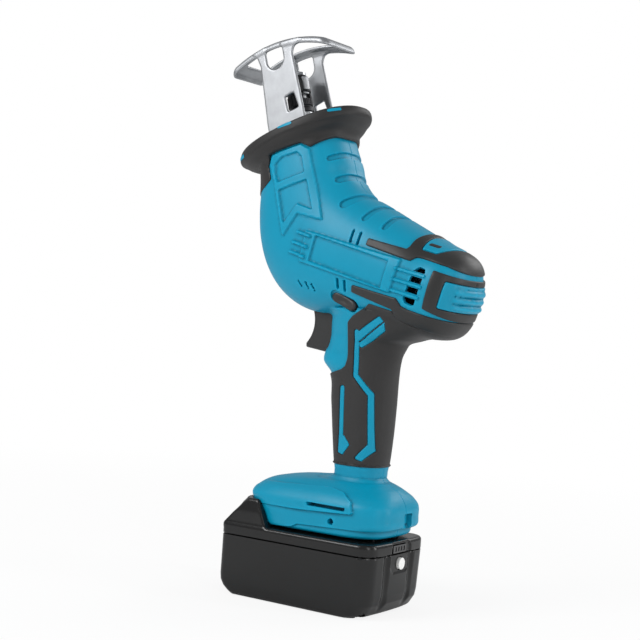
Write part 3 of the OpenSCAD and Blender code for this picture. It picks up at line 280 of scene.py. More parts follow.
class Loft:
    """A smooth skin through a chain of sections, read as a field: below 0 inside, about mm outside."""

    def __init__(self, rows, ends, samples=1600):
        rows = np.array(rows, float)
        step = (np.hypot(*np.diff(rows[:, :2], axis=0).T) + np.hypot(*np.diff(rows[:, 2:4], axis=0).T)) / 2
        knots = np.concatenate([[0], np.cumsum(step)])
        t = np.linspace(0, knots[-1], samples)
        slope = np.diff(rows, axis=0) / step[:, None]
        inner = (slope[:-1] * step[1:, None] + slope[1:] * step[:-1, None]) / (step[1:] + step[:-1])[:, None]
        low = 3 * np.minimum(abs(slope[:-1]), abs(slope[1:]))
        limited = np.where(slope[:-1] * slope[1:] > 0, np.sign(inner) * np.minimum(abs(inner), low), 0)
        inner[:, 4:] = limited[:, 4:]
        tangent = np.vstack([slope[:1], inner, slope[-1:]])
        k = np.clip(np.searchsorted(knots, t, side="right") - 1, 0, len(step) - 1)
        h = ((t - knots[k]) / step[k])[:, None]
        d = step[k][:, None]
        self.table = ((2 * h ** 3 - 3 * h ** 2 + 1) * rows[k] + (h ** 3 - 2 * h ** 2 + h) * d * tangent[k]
                      + (3 * h ** 2 - 2 * h ** 3) * rows[k + 1] + (h ** 3 - h ** 2) * d * tangent[k + 1])
        self.count = samples
        upper, lower = self.table[:, :2], self.table[:, 2:4]
        self.middle, self.reach = (upper + lower) / 2, (upper - lower) / 2
        self.ends = []
        for which, on in zip((0, -1), ends):
            if on:
                across = self.reach[which] / np.hypot(*self.reach[which])
                out = np.array([across[1], -across[0]])
                along = self.middle[which] - self.middle[1 if which == 0 else -2]
                self.ends.append((self.middle[which], out * np.sign(out @ along)))
        # a first guess of (t, c) for each mm of the side plane, up to MARGIN outside the skin
        self.low = np.minimum(upper, lower).min(0) - MARGIN
        size = (np.maximum(upper, lower).max(0) + MARGIN - self.low).astype(int) + 2
        self.guess = np.full((*size, 2), np.nan)
        for c in np.linspace(1.6, 0, 240):
            for side in (-c, c):
                at = self.middle + side * self.reach
                i, j = ((at - self.low).round().astype(int)).T
                ok = (i >= 0) & (j >= 0) & (i < size[0]) & (j < size[1])
                self.guess[i[ok], j[ok]] = np.stack([np.arange(samples)[ok], np.full(ok.sum(), side)], 1)

    def at(self, table, t):
        k = np.clip(t.astype(int), 0, self.count - 2)
        f = (t - k)[:, None]
        return table[k] * (1 - f) + table[k + 1] * f

    def locate(self, x, z):
        """Where (x, z) lies: t along the sections, c across them (1 or -1 at the skin), and if it is near."""
        p = np.stack([x, z], 1)
        cell = (p - self.low).round().astype(int)
        shape = self.guess.shape
        inside = (cell >= 0).all(1) & (cell[:, 0] < shape[0]) & (cell[:, 1] < shape[1])
        cell[~inside] = 0
        start = self.guess[cell[:, 0], cell[:, 1]]
        known = inside & ~np.isnan(start[:, 0])
        t, c = np.where(known, start.T, 0.0)
        for _ in range(5):
            reach = self.at(self.reach, t)
            miss = p - self.at(self.middle, t) - c[:, None] * reach
            k = np.clip(t.astype(int), 0, self.count - 2)
            way = (self.middle[k + 1] - self.middle[k]) + c[:, None] * (self.reach[k + 1] - self.reach[k])
            det = way[:, 0] * reach[:, 1] - way[:, 1] * reach[:, 0]
            det[abs(det) < 1e-9] = 1e-9
            dt = (miss[:, 0] * reach[:, 1] - miss[:, 1] * reach[:, 0]) / det
            t = np.clip(t + np.clip(dt, -60, 60), 0, self.count - 1.001)
            reach = self.at(self.reach, t)
            c = ((p - self.at(self.middle, t)) * reach).sum(1) / (reach ** 2).sum(1)
        return t, c, known

    def planar(self, x, z):
        """What the field needs at (x, z), whatever y is."""
        shape = np.shape(x)
        x, z = np.ravel(x), np.ravel(z)
        t, c, known = self.locate(x, z)
        rest = self.at(self.table[:, 4:], t)
        reach = np.hypot(*self.at(self.reach, t).T)
        square = np.where(c > 0, rest[:, 1], rest[:, 2])
        cap = np.full(len(x), -99.0)
        for origin, out in self.ends:
            cap = np.maximum(cap, (x - origin[0]) * out[0] + (z - origin[1]) * out[1])
        return [v.reshape(shape) for v in (abs(c), reach, rest[:, 0], square, cap, known)]

    def field(self, planar, y):
        c, reach, half_w, square, cap, known = planar
        side = abs(y) / half_w
        r = np.maximum((c ** square + side ** square), 1e-9) ** (1 / square)
        scale = r / np.sqrt((c / reach) ** 2 + (side / half_w) ** 2 + 1e-12)
        f = np.where(known, (r - 1) * scale, OUTSIDE)
        return smooth_max(f, cap + 0 * f, 3.0)


def smooth_max(a, b, k):
    h = np.clip(0.5 + 0.5 * (a - b) / k, 0, 1)
    return b + (a - b) * h + k * h * (1 - h)


def smooth_min(a, b, k):
    return -smooth_max(-a, -b, k)


BODY, GRIP, FOOT = (Loft(rows, (True, True)) for rows in (body_sections(), GRIP_SECTIONS, FOOT_SECTIONS))


def skin_planar(x, z):
    return [part.planar(x, z) for part in (BODY, GRIP, FOOT)]


def skin_field(planar, y):
    body, grip, foot = (part.field(p, y) for part, p in zip((BODY, GRIP, FOOT), planar))
    return smooth_min(smooth_min(body, grip, 5.0), foot, 4.0)


def skin_at(points):
    return skin_field(skin_planar(points[:, 0], points[:, 2]), points[:, 1])


def gradient(field, points, axes=(0, 1, 2), h=0.05):
    out = np.empty_like(points)
    for axis in axes:
        step = np.zeros(3)
        step[axis] = h
        out[:, axis] = (field(points + step) - field(points - step)) / (2 * h)
    return out


def skin_gradient(points, h=0.05):
    out = gradient(skin_at, points, (0, 2), h)
    here, y = skin_planar(points[:, 0], points[:, 2]), points[:, 1]
    out[:, 1] = (skin_field(here, y + h) - skin_field(here, y - h)) / (2 * h)
    return out


def nearer(points, value, g, least, most):
    """Points moved along the gradient g to where the value would be 0, by at most this far."""
    move = g * (value / np.maximum((g ** 2).sum(1), least))[:, None]
    length = np.sqrt((move ** 2).sum(1))[:, None]
    return points - move * np.minimum(1, most / np.maximum(length, 1e-9))


def settle(points, rounds, keep_y=None):
    """Moves points onto the skin. Those in keep_y stay in their plane y = 0."""
    for _ in range(rounds):
        g = skin_gradient(points)
        if keep_y is not None:
            g[keep_y, 1] = 0
        points = nearer(points, skin_at(points), g, 1e-6, 1.0)
    return points


def surface_net(values, low, step):
    """One vertex in each mixed cell, and a quad round each crossed grid edge, as two triangles."""
    inside = values < 0
    nx, ny, nz = np.array(values.shape) - 1
    total = np.zeros((nx, ny, nz, 3))
    count = np.zeros((nx, ny, nz))
    corners = [(i, j, k) for i in (0, 1) for j in (0, 1) for k in (0, 1)]
    part = lambda a, c: a[c[0]:c[0] + nx, c[1]:c[1] + ny, c[2]:c[2] + nz]
    for a in corners:
        for b in corners:
            if sum(b) == sum(a) + 1 and sum(abs(p - q) for p, q in zip(a, b)) == 1:
                crossed = part(inside, a) != part(inside, b)
                va, vb = part(values, a), part(values, b)
                t = np.where(crossed, va / np.where(crossed, va - vb, 1), 0)
                for axis in range(3):
                    total[..., axis] += np.where(crossed, a[axis] + t * (b[axis] - a[axis]), 0)
                count += crossed
    used = count > 0
    index = np.full(used.shape, -1)
    index[used] = np.arange(used.sum())
    cell = np.argwhere(used)
    points = low + step * (cell + total[used] / count[used][:, None])
    triangles = []
    for axis in range(3):
        a, b = [v for v in range(3) if v != axis]
        limit = [slice(1, n) for n in (nx, ny, nz)]
        limit[axis] = slice(0, (nx, ny, nz)[axis])
        crossed = np.zeros_like(inside)
        crossed[tuple(limit)] = (inside != np.roll(inside, -1, axis))[tuple(limit)]
        at = np.argwhere(crossed)
        da, db = np.eye(3, dtype=int)[a], np.eye(3, dtype=int)[b]
        quad = np.stack([index[tuple((at - o).T)] for o in (0 * da, da, da + db, db)], 1)
        flip = inside[tuple(at.T)] ^ (axis == 1)
        quad = np.where(flip[:, None], quad, quad[:, ::-1])
        triangles += [quad[:, [0, 1, 2]], quad[:, [0, 2, 3]]]
    return points, np.vstack(triangles)


def skin_mesh(step):
    x = np.arange(-76.0, 118.0, step)
    z = np.arange(47.0, 345.0, step)
    y = np.arange(-37.0, 3.0, step)
    planar = skin_planar(*np.meshgrid(x, z, indexing="ij"))
    planar = [[v[:, None, :] for v in p] for p in planar]
    values = skin_field(planar, y[None, :, None])
    points, triangles = surface_net(values, np.array([x[0], y[0], z[0]]), step)
    return settle(points, 3), triangles


class Surface:
    """A triangle mesh on the skin, cut along lines of equal value and split into patches."""

    def __init__(self, points, triangles):
        self.p, self.t = points, triangles

    def cut(self, value, levels, settle_on=True):
        """This surface with new edges where value equals each level."""
        p, t = self.p, self.t
        for level in levels:
            v = value(p) - level
            v[abs(v) < 0.02] = 0
            s = np.sign(v)[t]
            mixed = (s.max(1) > 0) & (s.min(1) < 0)
            if not mixed.any():
                continue
            keep, t, s = t[~mixed], t[mixed], s[mixed]
            middle = (s == 0).any(1)
            lone = np.where(middle, np.argmax(s == 0, 1), np.argmax(s == -np.sign(s.sum(1))[:, None], 1))
            a, b, c = (t[np.arange(len(t)), (lone + k) % 3] for k in range(3))
            pairs = np.vstack([np.stack([b, c], 1)[middle], np.stack([a, b], 1)[~middle],
                               np.stack([a, c], 1)[~middle]])
            unique, back = np.unique(np.sort(pairs, 1), axis=0, return_inverse=True)
            first, second = unique.T
            f = (v[first] / (v[first] - v[second]))[:, None]
            new = p[first] * (1 - f) + p[second] * f
            if settle_on:
                new = settle(new, 1, (abs(p[first, 1]) < 1e-6) & (abs(p[second, 1]) < 1e-6))
            ids = back.ravel() + len(p)
            m, n = middle.sum(), (~middle).sum()
            on_bc, on_ab, on_ac = ids[:m], ids[m:m + n], ids[m + n:]
            am, bm, cm = a[middle], b[middle], c[middle]
            an, bn, cn = a[~middle], b[~middle], c[~middle]
            p = np.vstack([p, new])
            t = np.vstack([keep] + [np.stack(corners, 1) for corners in (
                (am, bm, on_bc), (am, on_bc, cm), (an, on_ab, on_ac), (on_ab, bn, cn), (on_ab, cn, on_ac))])
        return Surface(p, t)

    def part(self, value):
        """The triangles where value is below 0, after a cut there."""
        t = self.t[value(self.p[self.t].mean(1)) < 0]
        used = np.unique(t)
        index = np.full(len(self.p), -1)
        index[used] = np.arange(len(used))
        return Surface(self.p[used], index[t])

    def lifted(self, height, skirt=0.0):
        """Moved out along the skin's normals; skirt turns the open edge down to that depth under the skin."""
        g = skin_gradient(self.p)
        n = g / np.maximum(np.sqrt((g ** 2).sum(1)), 1e-9)[:, None]
        up = self.p + n * np.reshape(height, (-1, 1))
        t = self.t
        if skirt:
            edges = np.vstack([t[:, [0, 1]], t[:, [1, 2]], t[:, [2, 0]]])
            _, first, count = np.unique(np.sort(edges, 1), axis=0, return_index=True, return_counts=True)
            rim = edges[first[count == 1]]
            ids, back = np.unique(rim, return_inverse=True)
            rim_low = back.reshape(-1, 2) + len(up)
            down = self.p[ids] - n[ids] * skirt
            up = np.vstack([up, down])
            t = np.vstack([t, np.stack([rim[:, 1], rim[:, 0], rim_low[:, 0]], 1),
                           np.stack([rim[:, 1], rim_low[:, 0], rim_low[:, 1]], 1)])
        return Surface(up, t)


def mirrored(surface):
    return Surface(surface.p * [1, -1, 1], surface.t[:, ::-1])


def placed(name, data):
    obj = bpy.data.objects.new(name, data)
    bpy.context.scene.collection.objects.link(obj)
    return obj


def to_object(name, surface, material, body="tool", smooth_angle=SKIN_ANGLE, slot=None, node=None):
    """A piece of the model. Its slot argument is not used."""
    mesh = bpy.data.meshes.new(name)
    points, t = surface.p * MM, surface.t
    mesh.vertices.add(len(points))
    mesh.vertices.foreach_set("co", points.astype(np.float32).ravel())
    mesh.loops.add(t.size)
    mesh.loops.foreach_set("vertex_index", t.astype(np.int32).ravel())
    mesh.polygons.add(len(t))
    mesh.polygons.foreach_set("loop_start", np.arange(0, t.size, 3, dtype=np.int32))
    mesh.update(calc_edges=True)
    mesh.validate()
    mesh.shade_smooth()
    mesh.set_sharp_from_angle(angle=math.radians(smooth_angle))
    obj = placed(name, mesh)
    mesh.materials.append(MAT[material])
    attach(obj, body)
    slot or SLOT_OF[material]
    if node:
        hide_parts(node)


# ---- outlines in the side plane
def off_segment(x, z, a, b):
    """The way to each (x, z) from the nearest point of the segment from a to b."""
    dx, dz = b[0] - a[0], b[1] - a[1]
    t = np.clip(((x - a[0]) * dx + (z - a[1]) * dz) / (dx * dx + dz * dz), 0, 1)
    return x - a[0] - t * dx, z - a[1] - t * dz


def polygon(points, grow=0.0):
    """Signed distance to a closed outline of (x, z) points, below 0 inside."""
    a = np.array(points, float)
    b = np.roll(a, -1, axis=0)

    def value(p):
        x, z = p[:, 0], p[:, 2]
        best = np.full(len(p), 1e9)
        inside = np.zeros(len(p), bool)
        for (ax, az), (bx, bz) in zip(a, b):
            off_x, off_z = off_segment(x, z, (ax, az), (bx, bz))
            best = np.minimum(best, off_x ** 2 + off_z ** 2)
            crosses = (az > z) != (bz > z)
            inside ^= crosses & (x < ax + (z - az) * (bx - ax) / (bz - az or 1e-9))
        return np.sqrt(best) * np.where(inside, -1, 1) - grow
    return value


def capsule(a, b, r):
    """Signed distance to a slot with round ends."""
    return lambda p: np.hypot(*off_segment(p[:, 0], p[:, 2], a, b)) - r


def either(*values):
    return lambda p: np.min([v(p) for v in values], axis=0)


def capsules(*rows):
    """Several slots, each x, z, x, z, radius."""
    return either(*(capsule(row[:2], row[2:4], row[4]) for row in rows))


def line_of(points, width):
    """Signed distance to an open bent line of this width."""
    return either(*(capsule(a, b, width / 2) for a, b in zip(points, points[1:])))


def but_not(value, *holes):
    return lambda p: np.maximum(value(p), -np.min([h(p) for h in holes], axis=0))


def step(v, low, high):
    t = np.clip((v - low) / (high - low), 0, 1)
    return t * t * (3 - 2 * t)


# ---- relief of the housing
def inset(points, r):
    """The outline with each edge moved in by r."""
    a = np.array(points, float)
    turn = np.sign(np.sum(a[:, 0] * np.roll(a[:, 1], -1) - np.roll(a[:, 0], -1) * a[:, 1]))
    d = np.roll(a, -1, axis=0) - a
    d /= np.hypot(*d.T)[:, None]
    n = np.stack([-d[:, 1], d[:, 0]], 1) * turn
    before = np.roll(n, 1, axis=0)
    return a + r * (n + before) / (1 + (n * before).sum(1))[:, None]


def soft(points, r=1.5):
    """Signed distance to an outline with its outer corners rounded."""
    return polygon(inset(points, r), r)


def box2(u, v, half_u, half_v, r):
    du, dv = abs(u) - half_u + r, abs(v) - half_v + r
    return np.hypot(np.maximum(du, 0), np.maximum(dv, 0)) + np.minimum(np.maximum(du, dv), 0) - r


def rear_at(points):
    """(x, z) of points given from the barrel's rear end."""
    return [tuple(barrel_at(REAR_END + s, n)) for s, n in points]


FLAG = soft([(-22.6, 318.2), (-15.2, 314.8), (2.3, 264.3), (-18.7, 268.6), (-29.6, 252.8), (-31.6, 254.5),
    (-42.3, 290.6), (-47.9, 303.1), (-46.5, 310.6)], 1)
FLAG_FIELDS = either(
    soft([(-43, 304), (-37, 309.6), (-24.5, 313), (-20.4, 310), (-16.4, 298), (-38.6, 290.2),
          (-41.8, 296)], 1.2),
    soft([(-37.6, 285.8), (-14.6, 293.9), (-6.9, 271.4), (-19.9, 275.4), (-29.6, 262.3), (-31.5, 263.5)], 0.8))
SIDE_PANEL = soft([(-11, 258.6), (-15.6, 235.8), (59.6, 217.5), (66.8, 240.8)], 1.5)
SIDE_FIELD = soft([(-2.2, 255), (-6.9, 236.4), (52.8, 220.4), (57.7, 239.5)], 1.2)
TEETH = capsules(
    (-17.6, 256.6, -6, 253.6, 1.45), (-20.8, 249.6, -8, 246.2, 1.45), (-23, 242.9, -10, 239.4, 1.45))
NECK_BANDS = capsules(
    (-2.4, 309.2, 25, 329, 2.3), (5, 294.6, 28, 313, 2.7), (14, 277.6, 40, 300, 3.6), (32, 268, 46, 300, 2.6),
    (47.6, 262.4, 52, 290, 2.4))
VENT = soft(rear_at([(-31.2, 7.6), (-28.2, 10.9), (-23.8, 10.5), (-22.8, 8.2), (-24.3, -14.2), (-26.6, -15.6),
                     (-31.2, -15), (-33.2, -12.4)]), 1)
SLITS = capsules(
    (25.7, 251.4, 26.9, 258.4, 1.15), (31.5, 249.8, 32.9, 256.9, 1.15), (16.6, 219.9, 16.8, 225.1, 1.15),
    (22.2, 218.2, 22.6, 224, 1.15), (-17, 223, -14.7, 219.2, 0.65), (-10.9, 222.4, -8.7, 218.3, 0.65),
    (-5.5, 220.9, -3.6, 216.8, 0.65))
FOOT_PANEL = soft([(-36.2, 81.8), (21.3, 83.2), (32.5, 81.2), (40.8, 76.4), (43.2, 69.4), (41.8, 68.2),
    (-2.9, 66.2), (-33.5, 66), (-60, 70)], 1.2)
FOOT_SLOT = capsule((8.4, 71.6), (36.6, 71.2), 1.15)
FOOT_HOLE = capsule((26, 61.9), (26.2, 61.9), 2.1)
FOOT_STEP = polygon([(-50, 51), (-26, 52.3), (-5.7, 54.2), (-1.2, 56.7), (32, 58), (80, 58.4), (80, 40),
    (-50, 40)])
LOCK_SPOT = np.array([20, 210.8])
LOCK_AXIS = turned(-23)
LOCK_HOLE = capsule(tuple(LOCK_SPOT - 6.8 * LOCK_AXIS), tuple(LOCK_SPOT + 6.8 * LOCK_AXIS), 4.6)

RELIEF = [  # outline, height, width of its sloping edge
    (FLAG, 1.5, 1.3), (FLAG_FIELDS, -1.6, 1.1), (SIDE_PANEL, 1.7, 1.4), (SIDE_FIELD, -1.6, 1.0),
    (TEETH, 1.8, 0.9), (NECK_BANDS, -1.5, 0.6), (SLITS, -2.8, 0.3), (FOOT_PANEL, 2.4, 0.9),
    (FOOT_SLOT, -7.0, 0.3), (FOOT_HOLE, -7.0, 0.3), (FOOT_STEP, -1.1, 0.7), (LOCK_HOLE, -1.4, 0.5)]
PARTING_W, PARTING_DEPTH = 0.35, 0.45  # the seam between the halves


def relief_height(p):
    """How far the housing stands out of its smooth skin. The foot's panel fades towards the front."""
    h = np.zeros(len(p))
    for value, height, edge in RELIEF:
        if value is FOOT_PANEL:
            height = height * np.interp(p[:, 0], [-38, -12, 15], [0.2, 0.6, 1.0])
        h += height * step(-value(p), 0.0, edge)
    h -= PARTING_DEPTH * np.clip(1 - abs(p[:, 1]) / PARTING_W, 0, 1)
    return h


across_y = lambda p: p[:, 1]
plain = Surface(*skin_mesh(SKIN_STEP)).cut(across_y, [0.0]).part(across_y)

shell = plain.cut(across_y, [-PARTING_W])
for value, height, edge in RELIEF:
    shell = shell.cut(value, [0.0, -edge] if edge < 0.6 else [0.0, -edge / 2, -edge])


def vent_bars(start, end, r):
    """The three bars across the vent, from start to end along the barrel."""
    return [capsule(*rear_at([(start, 5.6 - 7.3 * i), (end, 5.6 - 7.3 * i)]), r) for i in range(3)]


vent_gap = but_not(VENT, *vent_bars(-45, -21.5, 1.6))
shell = shell.cut(vent_gap, [0.0]).part(lambda p: -vent_gap(p))
BARS = either(*vent_bars(-43, -22.6, 1.35))
shell = shell.cut(BARS, [0.0, -0.7])


def strap_notch(reach):
    """The slot for a strap in the foot's rear face, this far across from the parting plane."""
    return lambda p: np.maximum(box2(p[:, 2] - 63.6, 0 * p[:, 2], 5.7, 1.0, 0.8),
                                np.maximum(-reach - p[:, 1], 55 - p[:, 0]))


HIDDEN_SCREWS = [(-57, 239)]  # no well is drawn here, and the head's front edge shows
SCREW_SPOTS = [(-54, 268), (26, 168), (26, 112), (-26, 74), (50, 76), *rear_at([(-10, -15), (-10, 16.5)])]
WELL_R, WELL_FLOOR, WELL_SIDES = 3.3, 12.0, 40
WELLS = either(*(capsule(q, (q[0], q[1] + 0.01), WELL_R) for q in SCREW_SPOTS))


def screw_wells():
    """Round wells down to the screws' seats, with a hole for each screw."""
    turns = np.linspace(0, 2 * math.pi, WELL_SIDES, endpoint=False)
    points, triangles = [], []
    for k, (x0, z0) in enumerate(SCREW_SPOTS):
        rim = np.stack([x0 + WELL_R * np.cos(turns), 0 * turns - 60.0, z0 + WELL_R * np.sin(turns)], 1)
        for _ in range(40):
            rim[:, 1] += np.clip(skin_at(rim), -3, 3) * 0.8
        floor = rim * [1, 0, 1] + [0, -WELL_FLOOR, 0]
        rim[:, 1] -= 0.4
        seat = floor.copy()
        seat[:, [0, 2]] = [x0, z0] + (seat[:, [0, 2]] - [x0, z0]) * 0.45
        points += [rim, floor, seat]
        for level in (3 * k, 3 * k + 1):
            a = WELL_SIDES * level + np.arange(WELL_SIDES)
            b = WELL_SIDES * level + (np.arange(WELL_SIDES) + 1) % WELL_SIDES
            triangles += [np.stack([a, a + WELL_SIDES, b], 1),
                          np.stack([b, a + WELL_SIDES, b + WELL_SIDES], 1)]
    return Surface(np.vstack(points), np.vstack(triangles))


def housing_side(reach, drilled):
    notch = strap_notch(reach)
    s = shell.cut(notch, [0.0, -0.5])
    if drilled:
        s = s.cut(WELLS, [0.0]).part(lambda p: -WELLS(p))
    height = relief_height(s.p) + 1.3 * step(-BARS(s.p), 0.0, 0.7) - 3.5 * step(-notch(s.p), 0.0, 0.5)
    return s.lifted(height, 3.0)


to_object("skin_left", housing_side(1.4, False), "teal", node="housing_left")
to_object("skin_right", mirrored(housing_side(8.6, True)), "teal", node="housing_right")
to_object("screw_wells", mirrored(screw_wells()), "teal")


# ---- soft skins over the housing
def patch(outline, height, edge=0.9, holes=None, extra=None, deep=1.2):
    """A raised skin inside an outline, with a rounded rim."""
    region = outline if holes is None else but_not(outline, holes)
    s = plain.cut(region, [0.0, -0.18 * edge, -0.5 * edge, -edge]).part(region)
    d = np.clip(-region(s.p) / edge, 0, 1)
    h = height * (0.35 + 0.65 * np.sqrt(1 - (1 - d) ** 2))
    if extra is not None:
        h = h + extra(s.p)
    return s.lifted(h, deep)


def both_sides(name, surface, material, nodes=(None, None), slot=None):
    """A patch on the left, and its mirror image, drilled for the screws, on the right."""
    to_object(name + "_left", surface, material, node=nodes[0], slot=slot)
    drilled = surface.cut(WELLS, [0.0], False).part(lambda p: -WELLS(p))
    to_object(name + "_right", mirrored(drilled), material, node=nodes[1], slot=slot)


def dark_trim(name, surface):
    both_sides(name, surface, "black", (name + "_left", name + "_right"), "soft_rubber")


INLAY_MAIN = either(
    soft([(28.8, 189.6), (48.3, 202.6), (51.6, 198.4), (51.8, 192.9), (31.2, 179.4)], 1.2),
    line_of([(29.6, 190.5), (27.8, 176), (28.1, 160.8), (39.4, 148.4), (41, 111.5)], 3.7),
    soft([(39.2, 114.5), (43.4, 110.6), (35.6, 102.6), (30.6, 104.2)], 0.8))
INLAY_SMALL = either(line_of([(17.9, 151.2), (18.9, 117)], 3.6),
                     soft([(16.8, 119), (21.6, 118.8), (26.4, 113), (21, 105.6), (16.8, 106.8)], 0.8))
INLAY_LINE = line_of([(30.5, 184), (37.4, 188.9), (53.5, 200.1)], 1)
INLAYS = but_not(either(INLAY_MAIN, INLAY_SMALL), INLAY_LINE)
GRIP_SKIN = soft([(-20, 158.6), (2, 160.2), (9, 162), (15.6, 164), (19.2, 166.8), (20.6, 171.5), (22, 197),
    (26.5, 201.5), (41.5, 210.3), (59.4, 206.2), (65.2, 201.2), (73, 197.4), (112, 190.5), (112, 176),
    (75, 176), (75, 98.6), (-20, 98.6)], 1.5)
both_sides("grip", patch(GRIP_SKIN, 1.25, 0.9, lambda p: INLAYS(p) - 0.25), "rubber",
           ("grip_left", "grip_right"))
both_sides("grip_inlay", patch(INLAYS, 0.95, 0.8), "teal")

UPPER_TRIM = soft([(39.5, 253.8), (67.4, 247.6), (68.8, 249.2), (69.8, 254.1), (71.7, 258), (73.5, 290),
    (125, 275), (112, 229.4), (106.2, 232.4), (96.5, 237), (79, 241.8), (75.3, 242.2), (71.8, 239.8),
    (68.3, 240.6), (38.4, 249)], 0.9)
BADGE = soft([(76.6, 247.6), (86.4, 245), (99.5, 252), (99, 262), (88, 264), (76.8, 256.4)], 1.2)
BADGE_SLOT = capsule((79.4, 250.6), (85, 248.9), 1)
dark_trim("upper_trim", patch(UPPER_TRIM, 1.3, 0.9, lambda p: BADGE(p) - 0.3))
both_sides("cap_badge", patch(BADGE, 1.6, 0.8), "teal", ("cap_badge", None))
both_sides("cap_badge_slot", patch(BADGE_SLOT, 1.75, 0.4), "black", slot="soft_rubber")
LOWER_TRIM = soft([(29.2, 222.2), (64, 214.9), (67.3, 210), (72.5, 207.8), (95.4, 202), (125, 196),
    (125, 182), (92, 192), (68.4, 199.2), (62.4, 201.6), (59.6, 207.6), (28.3, 217.4)], 0.9)
dark_trim("lower_trim", patch(LOWER_TRIM, 1.3, 0.9))
BAND = soft([(88.8, 234.4), (83, 209.2), (99, 201.5), (130, 195), (130, 224), (104.1, 229.8)], 0.9)
PAD = soft([(96.6, 227.4), (92, 210.2), (130, 200), (130, 219)], 0.9)
dark_trim("rear_band", patch(BAND, 1.3, 0.9, lambda p: PAD(p) - 0.2))


def pad_ribs(p):
    """Rounded ribs round the back of the pad."""
    side = p[:, [0, 2]] - barrel_at(REAR_END, 0)
    s, n = side @ BARREL, side @ BARREL_SIDE
    wave = np.sqrt(np.clip(1 - (2 * ((n + 1.5) / 5.2 % 1.0) - 1) ** 2, 0, 1))
    return 2.6 * (wave - 0.55) * step(s, -4.5, -3.0) * step(-PAD(p), 1.0, 1.8)


both_sides("rear_pad", patch(PAD, 1.7, 0.9, extra=pad_ribs), "teal", ("rear_pad", None))


# ---- solids with soft edges
def solid_mesh(field, low, high, size):
    """The field's surface inside the box from low to high, on a grid of this size, in mm."""
    low = np.array(low, float)
    axes = [np.arange(a, b + size, size) for a, b in zip(low, high)]
    grid = np.stack(np.meshgrid(*axes, indexing="ij"), -1)
    values = field(grid.reshape(-1, 3)).reshape(grid.shape[:3])
    points, triangles = surface_net(values, low, size)
    for _ in range(4):
        points = nearer(points, field(points), gradient(field, points), 0.25, 0.5 * size)
    return Surface(points, triangles)


def solid(name, field, low, high, size, material, turn=lambda surface: surface, **facts):
    to_object(name, turn(solid_mesh(field, low, high, size)), material, smooth_angle=SOLID_ANGLE, **facts)


def from_nose(surface):
    """From (v, y, u) along the nose to the frame's axes."""
    v, y, u = surface.p.T
    side = CRANK + u[:, None] * NOSE + v[:, None] * NOSE_SIDE
    return Surface(np.stack([side[:, 0], y, side[:, 1]], 1), surface.t)


def nose_frame(p):
    """v and u of points in the frame's axes."""
    side = p[:, [0, 2]] - CRANK
    return side @ NOSE_SIDE, side @ NOSE


def hollow(a, b, k):
    return smooth_max(a, -b, k)


def slab(value, middle, half):
    return abs(value - middle) - half


SHEET = 2.4           # thickness of the shoe's sheet
SHOE_HALF_W, SHOE_TOP, SHOE_BEND = 20.7, 151.5, 99.0
ARM_FRONT, ARM_REAR, ARM_FOOT = -18.0, 14.6, 48.0
CROWN = SHOE_TOP - SHEET + 0.4
ARM = polygon([(ARM_FRONT, ARM_FOOT), (ARM_FRONT, 95), (ARM_FRONT + 2.4, 137), (ARM_FRONT + 0.5, CROWN - 4.4),
               (ARM_FRONT - 1.5, CROWN - 1.4), (ARM_FRONT + 8, CROWN + 0.4), (ARM_REAR + 5, CROWN - 1.6),
               (ARM_REAR + 8, CROWN - 3.6)]
              + [(ARM_REAR + 6.4 + 8 * math.cos(math.radians(a)), CROWN - 12.2 + 8 * math.sin(math.radians(a)))
                 for a in range(90, 181, 15)]
              + [(ARM_REAR, 98), (ARM_REAR, ARM_FOOT)])
ARM_NOTCH = either(capsule((-2.2, 139), (-2.2, 139.1), 7.2),
                   polygon([(-9.4, 139), (5.0, 139), (5.0, 160), (-9.4, 160)]))
ARM_WINDOW = soft([(1.5, 98.5), (0.8, 109.5), (8.4, 111), (10.6, 99.5)], 1.0)


def shoe_field(p):
    """The arched plate with its opening, and the two arms down from it."""
    v, y, u = p.T
    rho = np.hypot(v + 3.0, u - (SHOE_TOP - SHOE_BEND))
    rho = np.where(u > 90, rho, 0.0)
    plan = box2(v, y, 42.5, SHOE_HALF_W, 6.0)
    outer = smooth_max(smooth_max(rho - SHOE_BEND, plan, 4.0), SHOE_BEND - SHEET - 2.6 - rho, 1.8)
    plate = hollow(outer, smooth_max(rho - SHOE_BEND + SHEET, plan + 2.2, 2.4), 1.4)
    plate = hollow(plate, box2(v - 0.5, y, 33.5, 12.5, 3.0), 1.6)
    arms = smooth_max(ARM(p), slab(abs(y), SHOE_HALF_W - SHEET / 2, SHEET / 2), 1.5)
    arms = hollow(hollow(arms, ARM_NOTCH(p), 1.5), ARM_WINDOW(p), 1.2)
    return smooth_min(plate, arms, 1.6)


solid("shoe_sheet", shoe_field, (-47, -22, 44), (47, 22, 153), 0.6, "sheet", from_nose, node="shoe")

RIM_RISE = 3.5        # the boot's rim rises this much from its middle to its rear


def tilted(u, front, rear, half_w, droop=3.0):
    return section(nose_at(u + RIM_RISE, rear), nose_at(u - RIM_RISE - droop, -front), half_w, 2.3, 2.2)


